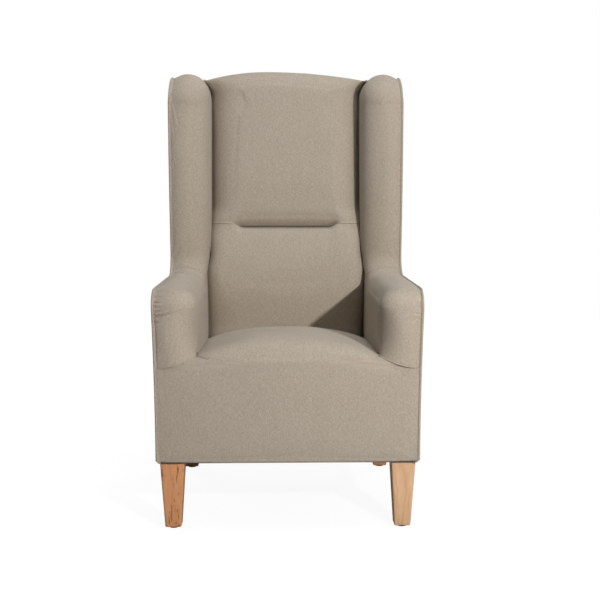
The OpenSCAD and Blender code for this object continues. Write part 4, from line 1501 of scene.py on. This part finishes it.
@dataclass
class Piping:
    """Cloth-covered cord along the outer edges, from the base up over arm and wing."""

    cloth: bpy.types.Material
    band: Band = Band()
    radius: float = 0.0032
    sink: float = 0.0010
    sides: int = 12
    arm_counts: tuple[int, ...] = (60, 20, 60, 12)
    wing_counts: tuple[int, ...] = (12, 80, 30, 40)

    def ring_point(self, row: BandRow, share: float) -> Point:
        """A point of the cord round the right outer edge.

        Args:
            row: The band's row that the ring of points goes round.
            share: Share of the way round.

        Returns:
            The point.
        """
        turn = 2 * math.pi * share
        depth, z = row.at(self.sink + self.radius * math.sin(turn))
        return (row.outer + self.radius * math.cos(turn), SIZES.front_y + depth, z)

    def build(self) -> None:
        """Makes the piping of both sides."""
        rows = self.band.edge_rows(self.arm_counts, self.wing_counts)
        form = grid_of(rows, self.sides, self.ring_point)
        for side in Side:
            piece = lay_cloth(f"{side.word}_edge_piping", form * np.array([side.value, 1, 1]),
                              (0, 0, 0))
            edit(piece, self.close_tube)
            smooth(piece, degrees=60)
            dress(piece, self.cloth)
            declare(piece, [f"{side.word}_piping"])

    def close_tube(self, mesh: bmesh.types.BMesh) -> None:
        """Joins the tube's long edges, closes its ends and turns its faces out.

        Args:
            mesh: The tube, open in edit mode.
        """
        bpy.ops.mesh.select_all(action="SELECT")
        bpy.ops.mesh.remove_doubles(threshold=0.00005)
        bpy.ops.mesh.select_all(action="DESELECT")
        bpy.ops.mesh.select_non_manifold()
        bpy.ops.mesh.edge_face_add()
        bpy.ops.mesh.select_all(action="SELECT")
        bpy.ops.mesh.normals_make_consistent(inside=False)


# Legs


@dataclass
class Legs:
    """Four square tapered legs with softly rounded edges. Each front leg has its own wood."""

    sizes: ChairSizes = SIZES
    side_inset: float = 0.006
    front_inset: float = 0.016
    rear_inset: float = 0.022
    rake: float = 0.072
    top_w: float = 0.062
    foot_w: float = 0.041
    top_z: float = 0.176
    foot_z: float = 0.004
    edge_r: float = 0.0040
    flecked: WoodFinish = WoodFinish("beech_flecked", (216, 160, 112), (197, 140, 95),
                                     (168, 108, 68), flecks=0.75)
    straight: WoodFinish = WoodFinish("beech_straight", (228, 186, 145), (214, 170, 130),
                                      (192, 146, 106))
    mellow: WoodFinish = WoodFinish("beech_mellow", (222, 174, 128), (206, 156, 112),
                                    (180, 126, 84))

    def leg(self, node: str, x: float, y: float, rake: float,
            wood: bpy.types.Material) -> None:
        """Makes a leg in place of its node.

        Args:
            node: The leg's node.
            x: Place of its middle across.
            y: Place of its middle from front to back, at the top.
            rake: How far back its foot stands.
            wood: Its finish.
        """
        middle = (self.top_z + self.foot_z) / 2
        share = self.foot_w / self.top_w

        def taper(mesh: bmesh.types.BMesh) -> None:
            """Narrows the foot and moves it back by the rake.

            Args:
                mesh: The leg, open in edit mode.
            """
            bpy.ops.mesh.select_all(action="DESELECT")
            for vertex in mesh.verts:
                vertex.select_set(vertex.co.z < middle)
            mesh.select_flush(True)
            bpy.ops.transform.resize(value=(share, share, 1), center_override=(x, y, self.foot_z))
            bpy.ops.transform.translate(value=(0, rake, 0))

        piece = add_primitive(bpy.ops.mesh.primitive_cube_add, node.replace("leg", "beech_leg"),
                              size=1, location=(x, y, middle),
                              scale=(self.top_w, self.top_w, self.top_z - self.foot_z))
        bpy.ops.object.transform_apply(location=True, rotation=True, scale=True)
        edit(piece, taper)
        apply_modifier(piece, "BEVEL", width=self.edge_r, segments=4)
        smooth(piece, degrees=35)
        dress(piece, wood)
        declare(piece, [node])

    def build(self) -> None:
        """Makes all four legs."""
        s = self.sizes
        x = s.side_half - self.side_inset - self.top_w / 2
        front_y = s.front_y + self.front_inset + self.top_w / 2
        rear_y = s.front_y + s.rear_at(s.leg_height) - self.rear_inset - self.top_w / 2
        rear_wood = self.mellow.make()
        for place, y, rake, woods in (
                ("front", front_y, 0.0, (self.flecked.make(), self.straight.make())),
                ("rear", rear_y, self.rake, (rear_wood, rear_wood))):
            for side, wood in zip(Side, woods):
                self.leg(f"{place}_{side.word}_leg", side.value * x, y, rake, wood)


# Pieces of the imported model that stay, and the studio


@dataclass
class InnerPieces:
    """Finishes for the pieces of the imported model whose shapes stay."""

    rails: tuple[str, ...] = ("front_rail", "rear_rail", "left_side_rail", "right_side_rail")

    def finishes(self) -> list[tuple[WoodFinish | PlainFinish, tuple[str, ...]]]:
        """The finishes of the inner pieces.

        Returns:
            Each finish, with the words in the names of its nodes.
        """
        return [
            (WoodFinish("hardboard", (150, 116, 78), (132, 98, 62), (108, 76, 46)), ("board",)),
            (WoodFinish("frame_beech", (224, 196, 150), (210, 178, 130), (186, 150, 104)),
             ("rail", "post", "upright", "block")),
            (PlainFinish("spring_steel", (150, 152, 156), (186, 188, 192), (300.0, 300.0, 60.0),
                         roughness=0.35, metallic=1.0, relief=0.00005), ("spring", "bolt", "nut")),
            (PlainFinish("woven_strap", (44, 38, 32), (82, 72, 60), (500.0, 60.0, 700.0),
                         roughness=0.85), ("webbing",)),
            (PlainFinish("pressed_felt", (112, 114, 116), (156, 158, 160)), ("felt",)),
            (PlainFinish("spunbond_lining", (30, 30, 32), (52, 52, 54), (700.0, 180.0, 700.0),
                         roughness=0.9), ("dust",)),
            (PlainFinish("moulded_glide", (30, 27, 25), (48, 44, 40), (400.0, 400.0, 400.0),
                         roughness=0.5), ("glide",)),
        ]

    def build(self) -> None:
        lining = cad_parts["dust_cover"]
        width, length, _ = np.ptp(places(lining), axis=0).tolist()
        area = sum(face.area for face in lining.data.polygons if face.normal.z > 0.5)
        declare_stretched(lining, width, length, area, list(self.rails))
        for finish, words in self.finishes():
            material = finish.make()
            pieces = [piece for node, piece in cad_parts.items()
                      if any(word in node for word in words)]
            for piece in pieces:
                dress(piece, material)
            LOG.info("%s on %d pieces", material.name, len(pieces))


class LampKind(Enum):
    """The studio's kinds of lamp, as Blender names them, with where each keeps its size."""

    BULB = ("POINT", "shadow_soft_size")
    BOX = ("AREA", "size")


@dataclass(frozen=True)
class Lamp:
    """A lamp of the studio that faces the middle of the chair."""

    name: str
    place: Point
    size: float
    power: float
    colour: Point = (1.0, 1.0, 1.0)
    kind: LampKind = LampKind.BOX
    aim: Point = (0, 0, 0.6)

    def build(self) -> None:
        """Hangs the lamp."""
        kind, size = self.kind.value
        light = bpy.data.lights.new(self.name, kind)
        light.color = self.colour
        light.energy = self.power
        setattr(light, size, self.size)
        lamp = add_object(self.name, light)
        lamp.location = self.place
        lamp.rotation_mode = "QUATERNION"
        lamp.rotation_quaternion = (Vector(self.place) - Vector(self.aim)).to_track_quat("Z", "Y")


@dataclass
class Studio:
    """Plain pale floor, soft light and the camera at the photograph's angle.

    The key lamp is small and low at the front right, and draws clear shadows.
    """

    lens: float = 63.2
    distance: float = 2.58
    eye: float = 0.856
    eye_x: float = -0.029
    tilt: float = math.radians(5.96)
    yaw: float = math.radians(-1.30)
    far: float = 6.0
    glow_share: float = 0.8
    near_glow: float = 1.16
    far_glow: float = 1.27
    ambient: float = 0.008
    lamps: tuple[Lamp, ...] = (
        Lamp("key_lamp", (1.090, -2.43, 1.245), size=0.04, power=193.0, kind=LampKind.BULB),
        Lamp("front_box", (1.0, -1.7, 3.2), size=1.2, power=5),
        Lamp("top_box", (0.0, -0.30, 3.4), size=1.6, power=49, colour=(0.91, 0.965, 1.0)),
        Lamp("rear_left_box", (-2.6, 2.8, 2.0), size=2.0, power=45),
        Lamp("rear_right_box", (2.6, 2.8, 2.0), size=2.0, power=45))

    def floor(self) -> None:
        """A wide pale floor that goes white towards the camera and keeps the shadow."""
        floor = add_primitive(bpy.ops.mesh.primitive_plane_add, "studio_floor", size=60,
                              location=(0, 0, 0))
        mixer = Recipe(bpy.data.materials.new("studio_white"))
        mixer.set(Base_Color=mixer.ramp(mixer.noise(mixer.place(), scale=3.0),
                                        ((0.3, (196, 196, 196)), (0.7, (200, 200, 200)))),
                  Roughness=0.9, Specular_IOR_Level=0.0)
        away = mixer.add("ShaderNodeVectorMath", {0: mixer.place()}, operation="LENGTH")
        distant = mixer.sums("DIVIDE", away.outputs["Value"], self.far)
        level = mixer.blend(mixer.sums("MINIMUM", distant, 1.0), self.near_glow, self.far_glow)
        glow = mixer.add("ShaderNodeEmission", {"Strength": level})
        seen = mixer.add("ShaderNodeLightPath", {}).outputs["Is Camera Ray"]
        blend = mixer.add("ShaderNodeMixShader", {0: mixer.sums("MULTIPLY", seen, self.glow_share),
                                                  1: mixer.shader.outputs[0], 2: glow.outputs[0]})
        output = mixer.tree.nodes["Material Output"]
        mixer.feed(output.inputs["Surface"], blend.outputs[0])
        dress(floor, mixer.owner)

    def world(self) -> None:
        """Soft white surroundings, pure white towards the camera."""
        mixer = Recipe(bpy.data.worlds.new("studio_world"), "Background")
        seen = mixer.add("ShaderNodeLightPath", {}).outputs["Is Camera Ray"]
        mixer.set(Strength=mixer.blend(seen, self.ambient, 1.0), Color=(1.0, 1.0, 1.0, 1.0))
        bpy.context.scene.world = mixer.owner

    def camera(self) -> None:
        """The camera in front of the chair, a little to its left."""
        data = bpy.data.cameras.new("photo_camera")
        data.lens = self.lens
        data.sensor_width = 36
        camera = add_object("photo_camera", data)
        camera.location = (self.eye_x, SIZES.front_y - self.distance, self.eye)
        camera.rotation_euler = (QUARTER - self.tilt, 0, self.yaw)
        bpy.context.scene.camera = camera

    def build(self) -> None:
        """Sets up the whole studio."""
        self.floor()
        self.world()
        for lamp in self.lamps:
            lamp.build()
        self.camera()
        bpy.context.scene.view_settings.view_transform = "Standard"


def main() -> None:
    """Builds the chair's pieces in order and logs each one."""
    logging.basicConfig(level=logging.INFO, format="%(name)s: %(message)s")
    Studio().build()
    linen = LinenFinish().make()
    for part in (SeatAndFront, BackPads, ArmAndWing, OutsidePanels, Piping):
        part(linen).build()
    Legs().build()
    InnerPieces().build()


if __name__ == "__main__":
    main()
